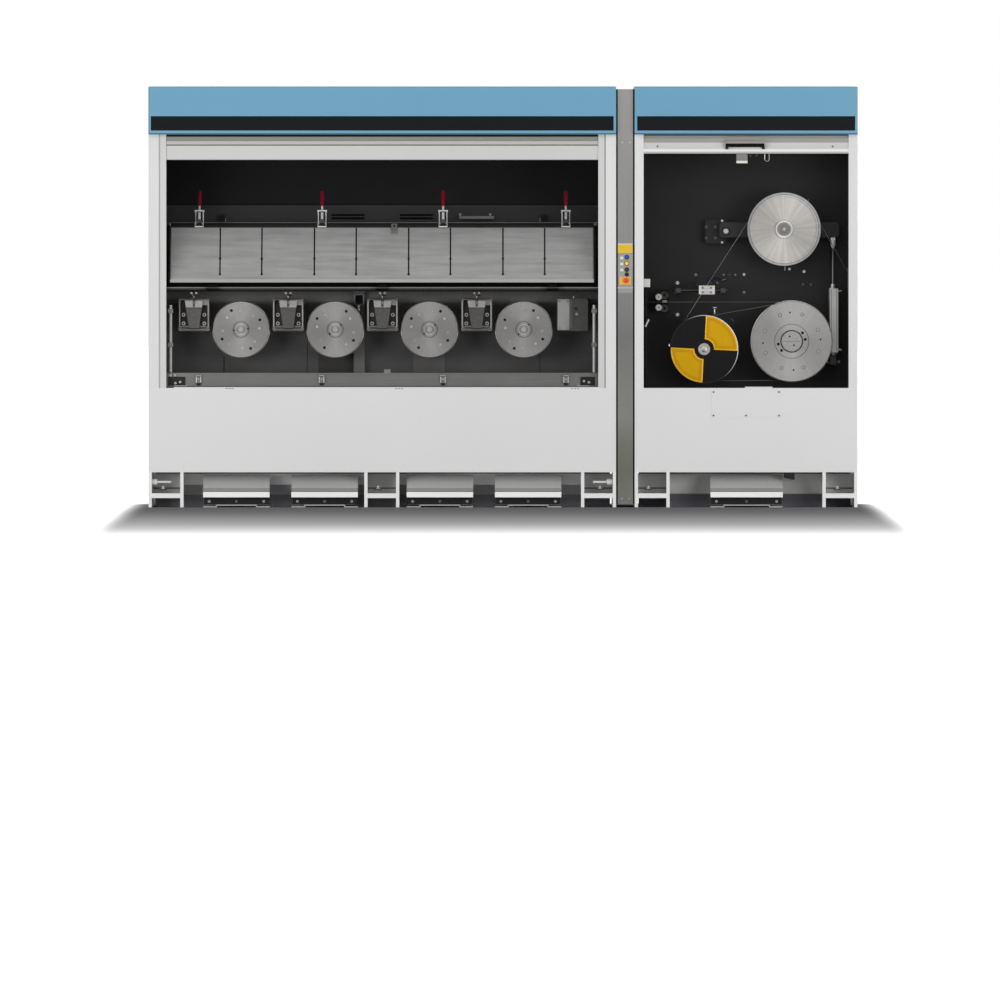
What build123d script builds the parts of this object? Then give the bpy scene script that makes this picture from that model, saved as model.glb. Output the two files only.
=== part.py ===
from build123d import *
import os
from math import cos, radians, sin

# Wire drawing machine: a four-capstan drawing bay on the left and a bay with a final
# capstan and a dancer on the right. X runs along the wire, +Y into the machine and +Z up.
# The origin is on the floor, in the middle of the footprint. All sizes are in millimetres.

# Overall sizes
left_bay_length = 2885.0
right_bay_length = 1375.0
bay_gap = 115.0
machine_depth = 1500.0
fascia_proud = 40.0
wire_height = 1265.0
head_room = 1335.0

# Cabinet
wall_left = 64.0
wall_right = 55.0
roof_thickness = 10.0
rear_thickness = 20.0
deck_thickness = 10.0
back_thickness = 20.0
left_back_depth = 700.0
plate_depth = 430.0
apron_thickness = 30.0
apron_drop = 529.0
bay_floor_thickness = 12.0

# Fascia and roller shutters
fascia_height = 294.0
fascia_drop = 6.0
fascia_depth = 320.0
band_rise = 24.0
band_height = 89.0
band_inset = 15.0
band_recess = 8.0
band_thickness = 4.0
guide_width = 37.0
guide_groove = 8.5
guide_depth = 70.0
guide_web = 30.0
left_bar_drop = 70.0
left_bar_height = 86.0
right_bar_drop = 22.0
right_bar_height = 65.0
right_flange_height = 30.0
shutter_plane = 8.0
shutter_thickness = 30.0
curtain_thickness = 16.0
curtain_inset = 7.0

# Base
beam_width = 216.0
beam_height = 216.0
beam_flange = 20.0
beam_web_bottom = 57.0
beam_web_top = 86.0
beam_middle_offset = -3.0
left_rail_bottom = 137.0
low_rail_bottom = 82.0
rail_top = 205.0
rail_thickness = 50.0
front_rail_depth = 260.0
rear_rail_inset = 50.0

# Drawing capstans and die holders
capstan_pitch = 582.5
capstan_face_radius = 175.0
capstan_drum_radius = 168.0
capstan_face_depth = 170.0
capstan_flange = 12.0
capstan_drum_width = 76.0
capstan_spindle = 35.0
running_gap = 0.08
housing_depth = 300.0
housing_radius = 90.0
wire_depth = 215.0
wire_hole_radius = 30.0
holder_width = 192.0
holder_height = 200.0
holder_drop = 177.0
holder_depth = 200.0
holder_rim = 11.0
holder_recess = 22.0
wire_slot = 12.0
exit_box_centre = 429.0

# Drawing chamber and its lid
chamber_rise = 75.0
chamber_sheet = 12.0
chamber_top_sheet = 6.0
chamber_front_depth = 50.0
chamber_end_sheet = 28.5
sill_height = 81.0
sill_depth = 70.0
sill_thickness = 50.0
tube_drop = 17.0
tube_radius = 10.0
hinge_depth = 25.0
hinge_rise = 10.0
lid_lean = 35.0
lid_length = 455.0
lid_start = 30.0
lid_thickness = 36.0
lid_left = -2067.0
lid_right = 574.0
liner_left = -2055.0
liner_right = 561.0
liner_border = 26.0
liner_free_border = 6.0
liner_recess = 8.0
liner_sheet = 3.0
hinge_pin_radius = 5.0
hinge_barrel_radius = 9.0
hinge_barrel_length = 60.0
hinge_ear = 10.0
hinge_end_gap = 1.0
hinge_offset = 1050.0
latch_near_offset = 374.5
latch_far_offset = 1134.0
clamp_pivot_reach = 520.0
clamp_pivot_offset = 44.0

# Final capstan, idler, dancer and cylinder
final_x = 1784.0
final_face_radius = 250.0
final_drum_radius = 241.0
final_spindle = 50.0
final_housing_radius = 120.0
idler_x = 1243.0
idler_drop = 290.0
idler_rim_radius = 208.0
idler_cover_radius = 211.0
idler_spindle = 30.0
idler_housing_radius = 80.0
sheave_width = 60.0
dancer_x = 1737.5
dancer_rise = 12.0
dancer_rim_radius = 226.0
dancer_web_radius = 203.5
dancer_axle = 20.0
arm_pivot_x = 1379.0
arm_pivot_rise = 440.0
arm_pin_radius = 15.0
arm_left = 1340.0
arm_right = 2079.0
arm_below = 38.0
arm_above = 55.0
arm_depth = 325.0
arm_thickness = 40.0
cylinder_x = 2042.0
cylinder_depth = 345.0
cylinder_radius = 27.0
cylinder_length = 423.0
gland_height = 25.0
rod_radius = 8.0
rod_reach = 222.0
rod_engaged = 178.0
rod_stroke = 116.0
rod_end_drop = 56.0
rod_end_height = 49.0
tongue_thickness = 12.0
fork_slot = 16.0

# Foot pedals
pedal_width = 410.0
right_pedal_width = 446.0
pedal_near_offset = 355.7
pedal_far_offset = 900.0
right_pedal_x = 1503.0
pedal_front = 30.0
pedal_lip_bottom = 62.0
pedal_lip_top = 101.0
pedal_rear_top = 199.0
pedal_rear_depth = 130.0
pedal_sheet = 5.0
pedal_pivot_depth = 150.0
pedal_pivot_height = 180.0
pedal_pin_radius = 6.0
pedal_barrel_radius = 11.0
pedal_body_top = 57.0

# Pillar and controls
pillar_x = 755.0
pillar_width = 94.0
pillar_bottom = 20.0
pillar_drop = 20.0
pillar_sheet = 20.0
pillar_core_depth = 60.0
control_rise = 58.0
control_height = 303.0
control_sheet = 3.0
button_x = 764.0
button_radius = 14.5

# Places worked out from the sizes above
machine_length = left_bay_length + bay_gap + right_bay_length
machine_height = wire_height + head_room
left_start = -machine_length / 2
left_end = left_start + left_bay_length
right_start = left_end + bay_gap
right_end = machine_length / 2
left_centre = (left_start + left_end) / 2
front = -machine_depth / 2 + fascia_proud
rear = machine_depth / 2
rear_inner = rear - rear_thickness
wall_top = machine_height - roof_thickness
fascia_top = machine_height - fascia_drop
fascia_bottom = fascia_top - fascia_height
band_bottom = fascia_bottom + band_rise
band_top = band_bottom + band_height
left_bar_top = fascia_bottom - left_bar_drop
left_bar_bottom = left_bar_top - left_bar_height
right_bar_top = fascia_bottom - right_bar_drop
right_flange_top = right_bar_top - right_bar_height
right_bar_bottom = right_flange_top - right_flange_height
pillar_top = machine_height - pillar_drop
left_inner_start = left_start + wall_left
left_inner_end = left_end - wall_left
right_inner_start = right_start + wall_right
right_inner_end = right_end - wall_right
deck_top = beam_height + deck_thickness
capstan_offsets = [-1.5, -0.5, 0.5, 1.5]
capstan_places = [left_centre + step * capstan_pitch for step in capstan_offsets]
capstan_height = wire_height - capstan_drum_radius
final_height = wire_height - final_drum_radius
idler_height = wire_height - idler_drop
arm_pivot_height = wire_height + arm_pivot_rise
arm_bottom = arm_pivot_height - arm_below
arm_top = arm_pivot_height + arm_above
dancer_height = arm_pivot_height + dancer_rise
rod_end_top = arm_pivot_height - rod_end_drop
rod_end_bottom = rod_end_top - rod_end_height
gland_top = rod_end_bottom - rod_reach
cylinder_top = gland_top - gland_height
cylinder_bottom = cylinder_top - cylinder_length
rod_low = gland_top - rod_engaged
apron_top = wire_height - apron_drop
chamber_floor = apron_top + chamber_sheet
sill_top = chamber_floor + sill_height
control_bottom = wire_height + control_rise
control_top = control_bottom + control_height
holder_places = [place - capstan_pitch / 2 for place in capstan_places]
holder_bottom = wire_height - holder_drop
holder_middle = holder_bottom + holder_height / 2
tube_top = wire_height - tube_drop
chamber_top = wire_height + chamber_rise
hinge_height = chamber_top + hinge_rise
lean_sin = sin(radians(lid_lean))
lean_cos = cos(radians(lid_lean))


def inward(depth):
    """Give the Y place that lies this far behind the front panels."""
    return front + depth


def block(x0, x1, y0, y1, z0, z1, mode=Mode.ADD):
    """Make a box from its low and high places on each axis."""
    with Locations(((x0 + x1) / 2, (y0 + y1) / 2, (z0 + z1) / 2)):
        Box(x1 - x0, y1 - y0, z1 - z0, mode=mode)


def disc(x, z, y0, y1, radius, mode=Mode.ADD):
    """Make a cylinder that lies along Y."""
    with Locations(Location((x, (y0 + y1) / 2, z), (90, 0, 0))):
        Cylinder(radius, y1 - y0, mode=mode)


def cross_bar(x0, x1, y, z, radius, mode=Mode.ADD):
    """Make a cylinder that lies along X."""
    with Locations(Location(((x0 + x1) / 2, y, z), (0, 90, 0))):
        Cylinder(radius, x1 - x0, mode=mode)


def turned(x, z, outline, mode=Mode.ADD):
    """Revolve an outline of (radius, Y) points about the Y axis through (x, z)."""
    with BuildSketch(Plane.XY.offset(z)) as half:
        with BuildLine():
            Polyline([(x + radius, y) for radius, y in outline], close=True)
        make_face()
    revolve(half.sketch, axis=Axis((x, 0, z), (0, 1, 0)), mode=mode)


def save(piece, name):
    """Label a finished piece and write it as its own STEP file."""
    piece.part.label = name
    export_step(piece.part, f"parts/{name}.step")


os.makedirs("parts", exist_ok=True)


# Base: H-section cross beams, which stand on the floor, and rails between them
left_beam_places = [
    left_start + beam_width / 2,
    left_centre + beam_middle_offset,
    left_end - beam_width / 2,
]
right_beam_places = [right_start + beam_width / 2, right_end - beam_width / 2]

with BuildPart() as cross_beams:
    for place in left_beam_places + right_beam_places:
        low = place - beam_width / 2
        high = place + beam_width / 2
        block(low, low + beam_flange, front, rear_inner, 0, beam_height)
        block(high - beam_flange, high, front, rear_inner, 0, beam_height)
        block(low, high, front, rear_inner, beam_web_bottom, beam_web_top)
        block(
            low + beam_flange,
            high - beam_flange,
            inward(front_rail_depth),
            inward(front_rail_depth + rail_thickness),
            beam_web_top,
            rail_top,
        )
save(cross_beams, "cross_beams")

with BuildPart() as base_rails:
    front_rail_y = inward(front_rail_depth)
    rear_rail_y = rear_inner - rear_rail_inset - rail_thickness
    spans = [(*pair, left_rail_bottom) for pair in zip(left_beam_places, left_beam_places[1:])]
    spans.append((*right_beam_places, low_rail_bottom))
    for first, second, front_rail_bottom in spans:
        for rail_y, bottom in [(front_rail_y, front_rail_bottom), (rear_rail_y, low_rail_bottom)]:
            block(
                first + beam_width / 2,
                second - beam_width / 2,
                rail_y,
                rail_y + rail_thickness,
                bottom,
                rail_top,
            )
save(base_rails, "base_rails")

with BuildPart() as deck_plates:
    for low, high in [(left_inner_start, left_inner_end), (right_inner_start, right_inner_end)]:
        block(low, high, inward(apron_thickness), rear_inner, beam_height, deck_top)
    block(
        right_inner_start,
        right_inner_end,
        inward(apron_thickness),
        inward(plate_depth),
        apron_top - bay_floor_thickness,
        apron_top,
    )
save(deck_plates, "deck_plates")


def side_wall(low, high, slot_bottom, slot_top):
    """Add a cabinet wall, with the hole or slot that the wire passes through."""
    block(low, high, front, rear_inner, beam_height, wall_top)
    block(
        low,
        high,
        front,
        inward(apron_thickness),
        beam_height,
        apron_top,
        mode=Mode.SUBTRACT,
    )
    block(
        low,
        high,
        front,
        inward(fascia_depth - fascia_proud),
        fascia_bottom,
        wall_top,
        mode=Mode.SUBTRACT,
    )
    block(
        low,
        high,
        inward(wire_depth - wire_hole_radius),
        inward(wire_depth + wire_hole_radius),
        slot_bottom,
        slot_top,
        mode=Mode.SUBTRACT,
    )


wire_low = wire_height - wire_hole_radius
wire_high = wire_height + wire_hole_radius
exit_slot_rise = 70.0
exit_slot_height = 140.0
exit_slot_bottom = wire_height + exit_slot_rise
exit_slot_top = exit_slot_bottom + exit_slot_height

with BuildPart() as end_walls:
    side_wall(left_start, left_inner_start, wire_low, wire_high)
    side_wall(right_inner_end, right_end, exit_slot_bottom, exit_slot_top)
save(end_walls, "end_walls")

with BuildPart() as inner_walls:
    side_wall(left_inner_end, left_end, wire_low, wire_high)
    side_wall(right_start, right_inner_start, wire_low, wire_high)
save(inner_walls, "inner_walls")

bays = [(left_start, left_end), (right_start, right_end)]

with BuildPart() as roof_plates:
    for low, high in bays:
        block(low, high, inward(fascia_depth - fascia_proud), rear, wall_top, machine_height)
save(roof_plates, "roof_plates")

with BuildPart() as rear_walls:
    for low, high in bays:
        block(low, high, rear_inner, rear, beam_height, wall_top)
save(rear_walls, "rear_walls")

with BuildPart() as cabin_back_left:
    block(
        left_inner_start,
        left_inner_end,
        inward(left_back_depth),
        inward(left_back_depth + back_thickness),
        deck_top,
        wall_top,
    )
save(cabin_back_left, "cabin_back_left")

with BuildPart() as mounting_plate:
    block(
        right_inner_start,
        right_inner_end,
        inward(plate_depth),
        inward(plate_depth + back_thickness),
        deck_top,
        wall_top,
    )
save(mounting_plate, "mounting_plate")


# Fascias: the blue housings of the roller shutters, each with a recessed black band
with BuildPart() as fascias:
    for low, high in bays:
        block(
            low,
            high,
            front - fascia_proud,
            inward(fascia_depth - fascia_proud),
            fascia_bottom,
            fascia_top,
        )
        block(
            low + band_inset,
            high - band_inset,
            front - fascia_proud,
            front - fascia_proud + band_recess,
            band_bottom,
            band_top,
            mode=Mode.SUBTRACT,
        )
save(fascias, "fascias")

with BuildPart() as fascia_bands:
    band_back = front - fascia_proud + band_recess
    for low, high in bays:
        block(
            low + band_inset,
            high - band_inset,
            band_back - band_thickness,
            band_back,
            band_bottom,
            band_top,
        )
save(fascia_bands, "fascia_bands")

with BuildPart() as shutter_guides:
    for wall_face, side in [(left_inner_start, 1), (left_inner_end, -1)]:
        groove_edge = wall_face + side * guide_groove
        guide_edge = groove_edge + side * guide_width
        low, high = sorted([groove_edge, guide_edge])
        block(low, high, front, inward(guide_depth), apron_top, fascia_bottom)
        low, high = sorted([wall_face, guide_edge])
        block(
            low,
            high,
            inward(guide_depth - guide_web),
            inward(guide_depth),
            apron_top,
            fascia_bottom,
        )
save(shutter_guides, "shutter_guides")

left_open_start = left_inner_start + guide_groove + guide_width
left_open_end = left_inner_end - guide_groove - guide_width
shutter_front = inward(shutter_plane)
shutter_back = inward(shutter_plane + shutter_thickness)
curtain_front = inward(shutter_plane + curtain_inset)
curtain_back = inward(shutter_plane + curtain_inset + curtain_thickness)

with BuildPart() as shutters:
    block(left_open_start, left_open_end, shutter_front, shutter_back, left_bar_bottom, left_bar_top)
    block(left_open_start, left_open_end, curtain_front, curtain_back, left_bar_top, fascia_bottom)
    block(
        right_inner_start,
        right_inner_end,
        front,
        shutter_back,
        right_bar_bottom,
        right_flange_top,
    )
    block(
        right_inner_start,
        right_inner_end,
        shutter_front,
        shutter_back,
        right_flange_top,
        right_bar_top,
    )
    block(
        right_inner_start,
        right_inner_end,
        curtain_front,
        curtain_back,
        right_bar_top,
        fascia_bottom,
    )
save(shutters, "shutters")

handle_left = 1373.0
handle_right = 1613.0
handle_rise = 9.0
handle_height = 38.0
handle_bottom = right_flange_top + handle_rise
handle_top = handle_bottom + handle_height
handle_reach = 34.0
handle_bar = 14.0
handle_foot = 22.0

with BuildPart() as shutter_handle:
    block(
        handle_left,
        handle_right,
        shutter_front - handle_reach,
        shutter_front - handle_reach + handle_bar,
        handle_bottom,
        handle_top,
    )
    for low in [handle_left, handle_right - handle_foot]:
        block(
            low,
            low + handle_foot,
            shutter_front - handle_reach,
            shutter_front,
            handle_bottom,
            handle_top,
        )
save(shutter_handle, "shutter_handle")

with BuildPart() as aprons:
    for low, high in bays:
        block(low, high, front, inward(apron_thickness), beam_height, apron_top)
save(aprons, "aprons")


# Pillar between the bays, with the operator's controls
with BuildPart() as pillar_cover:
    block(
        pillar_x - pillar_width / 2,
        pillar_x + pillar_width / 2,
        front,
        inward(pillar_sheet),
        pillar_bottom,
        pillar_top,
    )
save(pillar_cover, "pillar_cover")

with BuildPart() as pillar_core:
    block(
        left_end,
        right_start,
        inward(pillar_sheet),
        inward(pillar_core_depth),
        pillar_bottom,
        pillar_top,
    )
save(pillar_core, "pillar_core")

control_width = 88.0
control_front = front - control_sheet

with BuildPart() as control_plate:
    block(
        pillar_x - control_width / 2,
        pillar_x + control_width / 2,
        control_front,
        front,
        control_bottom,
        control_top,
    )
save(control_plate, "control_plate")

button_rises = [220.0, 182.0, 144.0]
button_reach = 12.0
selector_rise = 114.0
selector_radius = 13.5

with BuildPart() as push_buttons:
    for rise in button_rises:
        height = control_bottom + rise
        disc(button_x, height, control_front - button_reach, control_front, button_radius)
    selector_height = control_bottom + selector_rise
    disc(button_x, selector_height, control_front - button_reach, control_front, selector_radius)
save(push_buttons, "push_buttons")

stop_x = 759.0
stop_rise = 77.0
stop_height = control_bottom + stop_rise
stop_radius = 16.0
stop_reach = 30.0
stop_base = 6.0
stop_collar = 11.0
stop_plate_left = 719.0
stop_plate_right = 790.0
stop_plate_below = 26.0
stop_plate_above = 22.0

with BuildPart() as emergency_stop:
    block(
        stop_plate_left,
        stop_plate_right,
        control_front - stop_base,
        control_front,
        stop_height - stop_plate_below,
        stop_height + stop_plate_above,
    )
    disc(stop_x, stop_height, control_front - stop_reach, control_front - stop_base, stop_collar)
    disc(
        stop_x,
        stop_height,
        control_front - stop_reach,
        control_front - stop_reach + stop_collar,
        stop_radius,
    )
save(emergency_stop, "emergency_stop")


# Duct across the upper part of the left bay
duct_rise = 470.0
duct_height = 130.0
duct_bottom = wire_height + duct_rise
duct_top = duct_bottom + duct_height
duct_thickness = 70.0
duct_depth = left_back_depth - duct_thickness
duct_slot_length = 204.0
duct_slot_offset = 214.0
duct_slot_height = 12.0
duct_slot_depth = 10.0
duct_slot_rises = [43.0, 65.0]
buffer_offset = 996.0
buffer_rise = 55.0
buffer_radius = 20.0
buffer_length = 30.0
duct_handle_left = -272.0
duct_handle_right = -56.0
duct_handle_rise = 47.0
duct_handle_height = 18.0
duct_handle_bottom = duct_bottom + duct_handle_rise
duct_handle_top = duct_handle_bottom + duct_handle_height
duct_handle_reach = 40.0

with BuildPart() as extraction_duct:
    block(
        left_inner_start,
        left_inner_end,
        inward(duct_depth),
        inward(left_back_depth),
        duct_bottom,
        duct_top,
    )
    for side in [-1, 1]:
        slot_centre = left_centre + side * duct_slot_offset
        for rise in duct_slot_rises:
            block(
                slot_centre - duct_slot_length / 2,
                slot_centre + duct_slot_length / 2,
                inward(duct_depth),
                inward(duct_depth + duct_slot_depth),
                duct_bottom + rise,
                duct_bottom + rise + duct_slot_height,
                mode=Mode.SUBTRACT,
            )
    for side in [-1, 1]:
        disc(
            left_centre + side * buffer_offset,
            duct_bottom + buffer_rise,
            inward(duct_depth - buffer_length),
            inward(duct_depth),
            buffer_radius,
        )
    block(
        duct_handle_left,
        duct_handle_right,
        inward(duct_depth - duct_handle_reach),
        inward(duct_depth - duct_handle_reach + handle_bar),
        duct_handle_bottom,
        duct_handle_top,
    )
    for low in [duct_handle_left, duct_handle_right - handle_foot]:
        block(
            low,
            low + handle_foot,
            inward(duct_depth - duct_handle_reach),
            inward(duct_depth),
            duct_handle_bottom,
            duct_handle_top,
        )
save(extraction_duct, "extraction_duct")


# Drawing chamber: sheets that are open to the front, with ears for the lid's hinge
hinge_places = [left_centre - hinge_offset, left_centre, left_centre + hinge_offset]
ear_back = 70.0
ear_half = 8.0
top_sheet_bottom = chamber_top - chamber_top_sheet


def chamber_sheet_plate(bottom, top, lip):
    """Add a level sheet that reaches between the shutter guides to its lip."""
    block(left_inner_start, left_inner_end, inward(guide_depth), inward(plate_depth), bottom, top)
    block(left_open_start, left_open_end, inward(lip), inward(guide_depth), bottom, top)


with BuildPart() as chamber_back:
    block(
        left_inner_start,
        left_inner_end,
        inward(plate_depth),
        inward(plate_depth + chamber_sheet),
        apron_top,
        chamber_top,
    )
save(chamber_back, "chamber_back")

with BuildPart() as chamber_pan:
    chamber_sheet_plate(apron_top, chamber_floor, apron_thickness)
save(chamber_pan, "chamber_pan")

with BuildPart() as chamber_head:
    chamber_sheet_plate(top_sheet_bottom, chamber_top, chamber_front_depth)
    for place in hinge_places:
        reach = hinge_barrel_length / 2 + hinge_end_gap
        for low in [place - reach - hinge_ear, place + reach]:
            block(
                low,
                low + hinge_ear,
                inward(hinge_depth - ear_half),
                inward(ear_back),
                top_sheet_bottom,
                hinge_height + ear_half,
            )
        cross_bar(
            place - reach - hinge_ear,
            place + reach + hinge_ear,
            inward(hinge_depth),
            hinge_height,
            hinge_pin_radius,
        )
save(chamber_head, "chamber_head")

with BuildPart() as chamber_ends:
    for low in [left_inner_start, left_inner_end - chamber_end_sheet]:
        block(
            low,
            low + chamber_end_sheet,
            inward(guide_depth),
            inward(plate_depth),
            chamber_floor,
            top_sheet_bottom,
        )
        block(
            low,
            low + chamber_end_sheet,
            inward(wire_depth - wire_hole_radius),
            inward(wire_depth + wire_hole_radius),
            wire_low,
            wire_high,
            mode=Mode.SUBTRACT,
        )
save(chamber_ends, "chamber_ends")

catch_width = 34.0
catch_rise = 19.0
catch_height = 49.0
catch_reach = 16.0
latch_offsets = [-latch_far_offset, -latch_near_offset, latch_near_offset, latch_far_offset]
latch_places = [left_centre + offset for offset in latch_offsets]
tube_inset = 42.0

with BuildPart() as sill_rail:
    sill_start = left_inner_start + chamber_end_sheet
    sill_end = left_inner_end - chamber_end_sheet
    block(
        sill_start,
        sill_end,
        inward(sill_depth),
        inward(sill_depth + sill_thickness),
        chamber_floor,
        sill_top,
    )
    for place in latch_places:
        block(
            place - catch_width / 2,
            place + catch_width / 2,
            inward(sill_depth - catch_reach),
            inward(sill_depth),
            chamber_floor + catch_rise,
            chamber_floor + catch_rise + catch_height,
        )
    for place in [sill_start + tube_inset, sill_end - tube_inset]:
        with Locations((place, inward(sill_depth + sill_thickness / 2), (sill_top + tube_top) / 2)):
            Cylinder(tube_radius, tube_top - sill_top)
save(sill_rail, "sill_rail")

post_left = -924.0
post_right = -856.0
post_bottom = chamber_floor
post_top = chamber_top - chamber_top_sheet
post_depth = 380.0
window_left = -914.0
window_right = -867.5
window_drop = 11.0
window_height = 56.0
window_bottom = wire_height - window_drop
window_top = window_bottom + window_height
window_depth = 30.0

with BuildPart() as coolant_post:
    block(post_left, post_right, inward(post_depth), inward(plate_depth), post_bottom, post_top)
    block(
        window_left,
        window_right,
        inward(post_depth),
        inward(post_depth + window_depth),
        window_bottom,
        window_top,
        mode=Mode.SUBTRACT,
    )
save(coolant_post, "coolant_post")

# Die holders: dished blocks, each with a tapered die block, a clamp screw and a star knob
holder_corner = 12.0
recess_corner = 6.0

with BuildPart() as die_holders:
    for place in holder_places:
        with BuildSketch(Plane.XZ.offset(-inward(plate_depth))):
            with Locations((place, holder_middle)):
                RectangleRounded(holder_width, holder_height, holder_corner)
        extrude(amount=plate_depth - holder_depth)
        with BuildSketch(Plane.XZ.offset(-inward(holder_depth + holder_recess))):
            with Locations((place, holder_middle)):
                RectangleRounded(
                    holder_width - 2 * holder_rim,
                    holder_height - 2 * holder_rim,
                    recess_corner,
                )
        extrude(amount=holder_recess, mode=Mode.SUBTRACT)
        block(
            place - holder_width / 2,
            place + holder_width / 2,
            inward(holder_depth),
            inward(holder_depth + holder_recess),
            wire_height - wire_slot / 2,
            wire_height + wire_slot / 2,
            mode=Mode.SUBTRACT,
        )
save(die_holders, "die_holders")

die_block_rise = 11.0
die_block_height = 172.0
die_block_top = wire_height + die_block_rise
die_block_bottom = die_block_top - die_block_height
die_top_half = 56.0
die_bottom_half = 31.0
die_block_depth = 180.0
die_wire_gap = 14.0
die_notch_height = 24.0
screw_radius = 6.0
knob_rise = 33.0
knob_centre = die_block_top + knob_rise
knob_radius = 19.0
knob_thickness = 14.0
knob_lobe_radius = 7.0
knob_lobes = 5

with BuildPart() as die_clamps:
    recess_floor = inward(holder_depth + holder_recess)
    for place in holder_places:
        with BuildSketch(Plane.XZ.offset(-recess_floor)):
            with BuildLine():
                Polyline(
                    (place - die_bottom_half, die_block_bottom),
                    (place + die_bottom_half, die_block_bottom),
                    (place + die_top_half, die_block_top),
                    (place - die_top_half, die_block_top),
                    close=True,
                )
            make_face()
        extrude(amount=recess_floor - inward(die_block_depth))
        block(
            place - die_top_half,
            place + die_top_half,
            recess_floor - die_wire_gap,
            recess_floor,
            die_block_top - die_notch_height,
            die_block_top,
            mode=Mode.SUBTRACT,
        )
        screw_y = inward(die_block_depth + knob_thickness)
        with Locations((place, screw_y, (die_block_top + knob_centre) / 2)):
            Cylinder(screw_radius, knob_centre - die_block_top)
        with Locations((place, screw_y, knob_centre)):
            Cylinder(knob_radius - knob_lobe_radius / 2, knob_thickness)
            with PolarLocations(knob_radius - knob_lobe_radius / 2, knob_lobes):
                Cylinder(knob_lobe_radius, knob_thickness)
save(die_clamps, "die_clamps")

exit_box_depth = 185.0
exit_hole_radius = 8.0

with BuildPart() as exit_box:
    with BuildSketch(Plane.XZ.offset(-inward(plate_depth))):
        with Locations((exit_box_centre, holder_middle)):
            RectangleRounded(holder_width, holder_height, holder_corner)
    extrude(amount=plate_depth - exit_box_depth)
    cross_bar(
        exit_box_centre - holder_width / 2,
        exit_box_centre + holder_width / 2,
        inward(wire_depth),
        wire_height,
        exit_hole_radius,
        mode=Mode.SUBTRACT,
    )
save(exit_box, "exit_box")


# Drawing capstans and the bearing housings that carry them
def bearing(x, z, bore, radius):
    """Make a bearing housing that stands on the mounting plate."""
    turned(
        x,
        z,
        [
            (bore + running_gap, inward(housing_depth)),
            (radius, inward(housing_depth)),
            (radius, inward(plate_depth)),
            (bore + running_gap, inward(plate_depth)),
        ],
    )


with BuildPart() as bearing_housings:
    for place in capstan_places:
        bearing(place, capstan_height, capstan_spindle, housing_radius)
    bearing(final_x, final_height, final_spindle, final_housing_radius)
    bearing(idler_x, idler_height, idler_spindle, idler_housing_radius)
save(bearing_housings, "bearing_housings")

rim_chamfer = 3.0
hub_ring_outer = 52.0
hub_ring_inner = 46.0
hub_groove = 3.0
cap_radius = 18.0
cap_reach = 8.0
hole_circle_radius = 131.0
hole_radius = 9.0
hole_depth = 30.0
hole_starts = [27.0, 59.0, 59.0, 63.0]
capstan_holes = 4
hub_hole_circle_radius = 43.0
hub_hole_radius = 5.0
hub_hole_lag = 20.0
spindle_end_gap = 10.0
rear_flange_extra = 3.0


def drum_outline(face_radius, drum_radius, spindle):
    """Give the half outline of a capstan, from its face back to its spindle."""
    face = inward(capstan_face_depth)
    drum_front = face + capstan_flange
    drum_back = drum_front + capstan_drum_width
    rear_face = drum_back + capstan_flange
    return [
        (0, face),
        (face_radius - rim_chamfer, face),
        (face_radius, face + rim_chamfer),
        (face_radius, drum_front),
        (drum_radius, drum_front + rim_chamfer),
        (drum_radius, drum_back),
        (face_radius + rear_flange_extra, drum_back + rim_chamfer),
        (face_radius + rear_flange_extra, rear_face),
        (spindle, rear_face),
        (spindle, inward(plate_depth) - spindle_end_gap),
        (0, inward(plate_depth) - spindle_end_gap),
    ]


for number, (place, hole_start) in enumerate(zip(capstan_places, hole_starts), start=1):
    with BuildPart() as capstan:
        turned(
            place,
            capstan_height,
            drum_outline(capstan_face_radius, capstan_drum_radius, capstan_spindle),
        )
        face = inward(capstan_face_depth)
        disc(place, capstan_height, face - cap_reach, face, cap_radius)
        turned(
            place,
            capstan_height,
            [
                (hub_ring_inner, face),
                (hub_ring_outer, face),
                (hub_ring_outer, face + hub_groove),
                (hub_ring_inner, face + hub_groove),
            ],
            mode=Mode.SUBTRACT,
        )
        with Locations(Location((place, face, capstan_height), (90, 0, 0))):
            with PolarLocations(hole_circle_radius, capstan_holes, start_angle=hole_start):
                Cylinder(hole_radius, 2 * hole_depth, mode=Mode.SUBTRACT)
            with PolarLocations(hub_hole_circle_radius, 2, start_angle=hole_start - hub_hole_lag):
                Cylinder(hub_hole_radius, hole_depth, mode=Mode.SUBTRACT)
    save(capstan, f"capstan_{number}")

final_ring_radius = 106.0
final_hub_radius = 67.0
final_ring_step = 6.0
final_hole_circle_radius = 84.5
final_bolt_circle_radius = 177.0
final_bolt_radius = 11.0
final_bolt_depth = 10.0
final_bolt_start = 24.0
final_bolts = 8
final_hole_angles = [8.0, 38.0, 192.0, 222.0]

with BuildPart() as final_capstan:
    turned(
        final_x,
        final_height,
        drum_outline(final_face_radius, final_drum_radius, final_spindle),
    )
    face = inward(capstan_face_depth)
    turned(
        final_x,
        final_height,
        [
            (final_hub_radius, face),
            (final_ring_radius, face),
            (final_ring_radius, face + final_ring_step),
            (final_hub_radius, face + final_ring_step),
        ],
        mode=Mode.SUBTRACT,
    )
    with Locations(Location((final_x, face, final_height), (90, 0, 0))):
        for angle in final_hole_angles:
            with PolarLocations(final_hole_circle_radius, 1, start_angle=angle):
                Cylinder(hole_radius, 2 * hole_depth, mode=Mode.SUBTRACT)
        with PolarLocations(final_bolt_circle_radius, final_bolts, start_angle=final_bolt_start):
            Cylinder(final_bolt_radius, 2 * final_bolt_depth, mode=Mode.SUBTRACT)
save(final_capstan, "final_capstan")


# Idler: a grooved sheave behind a round cover
rim_edge = 8.0
web_dish = 16.0


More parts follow.
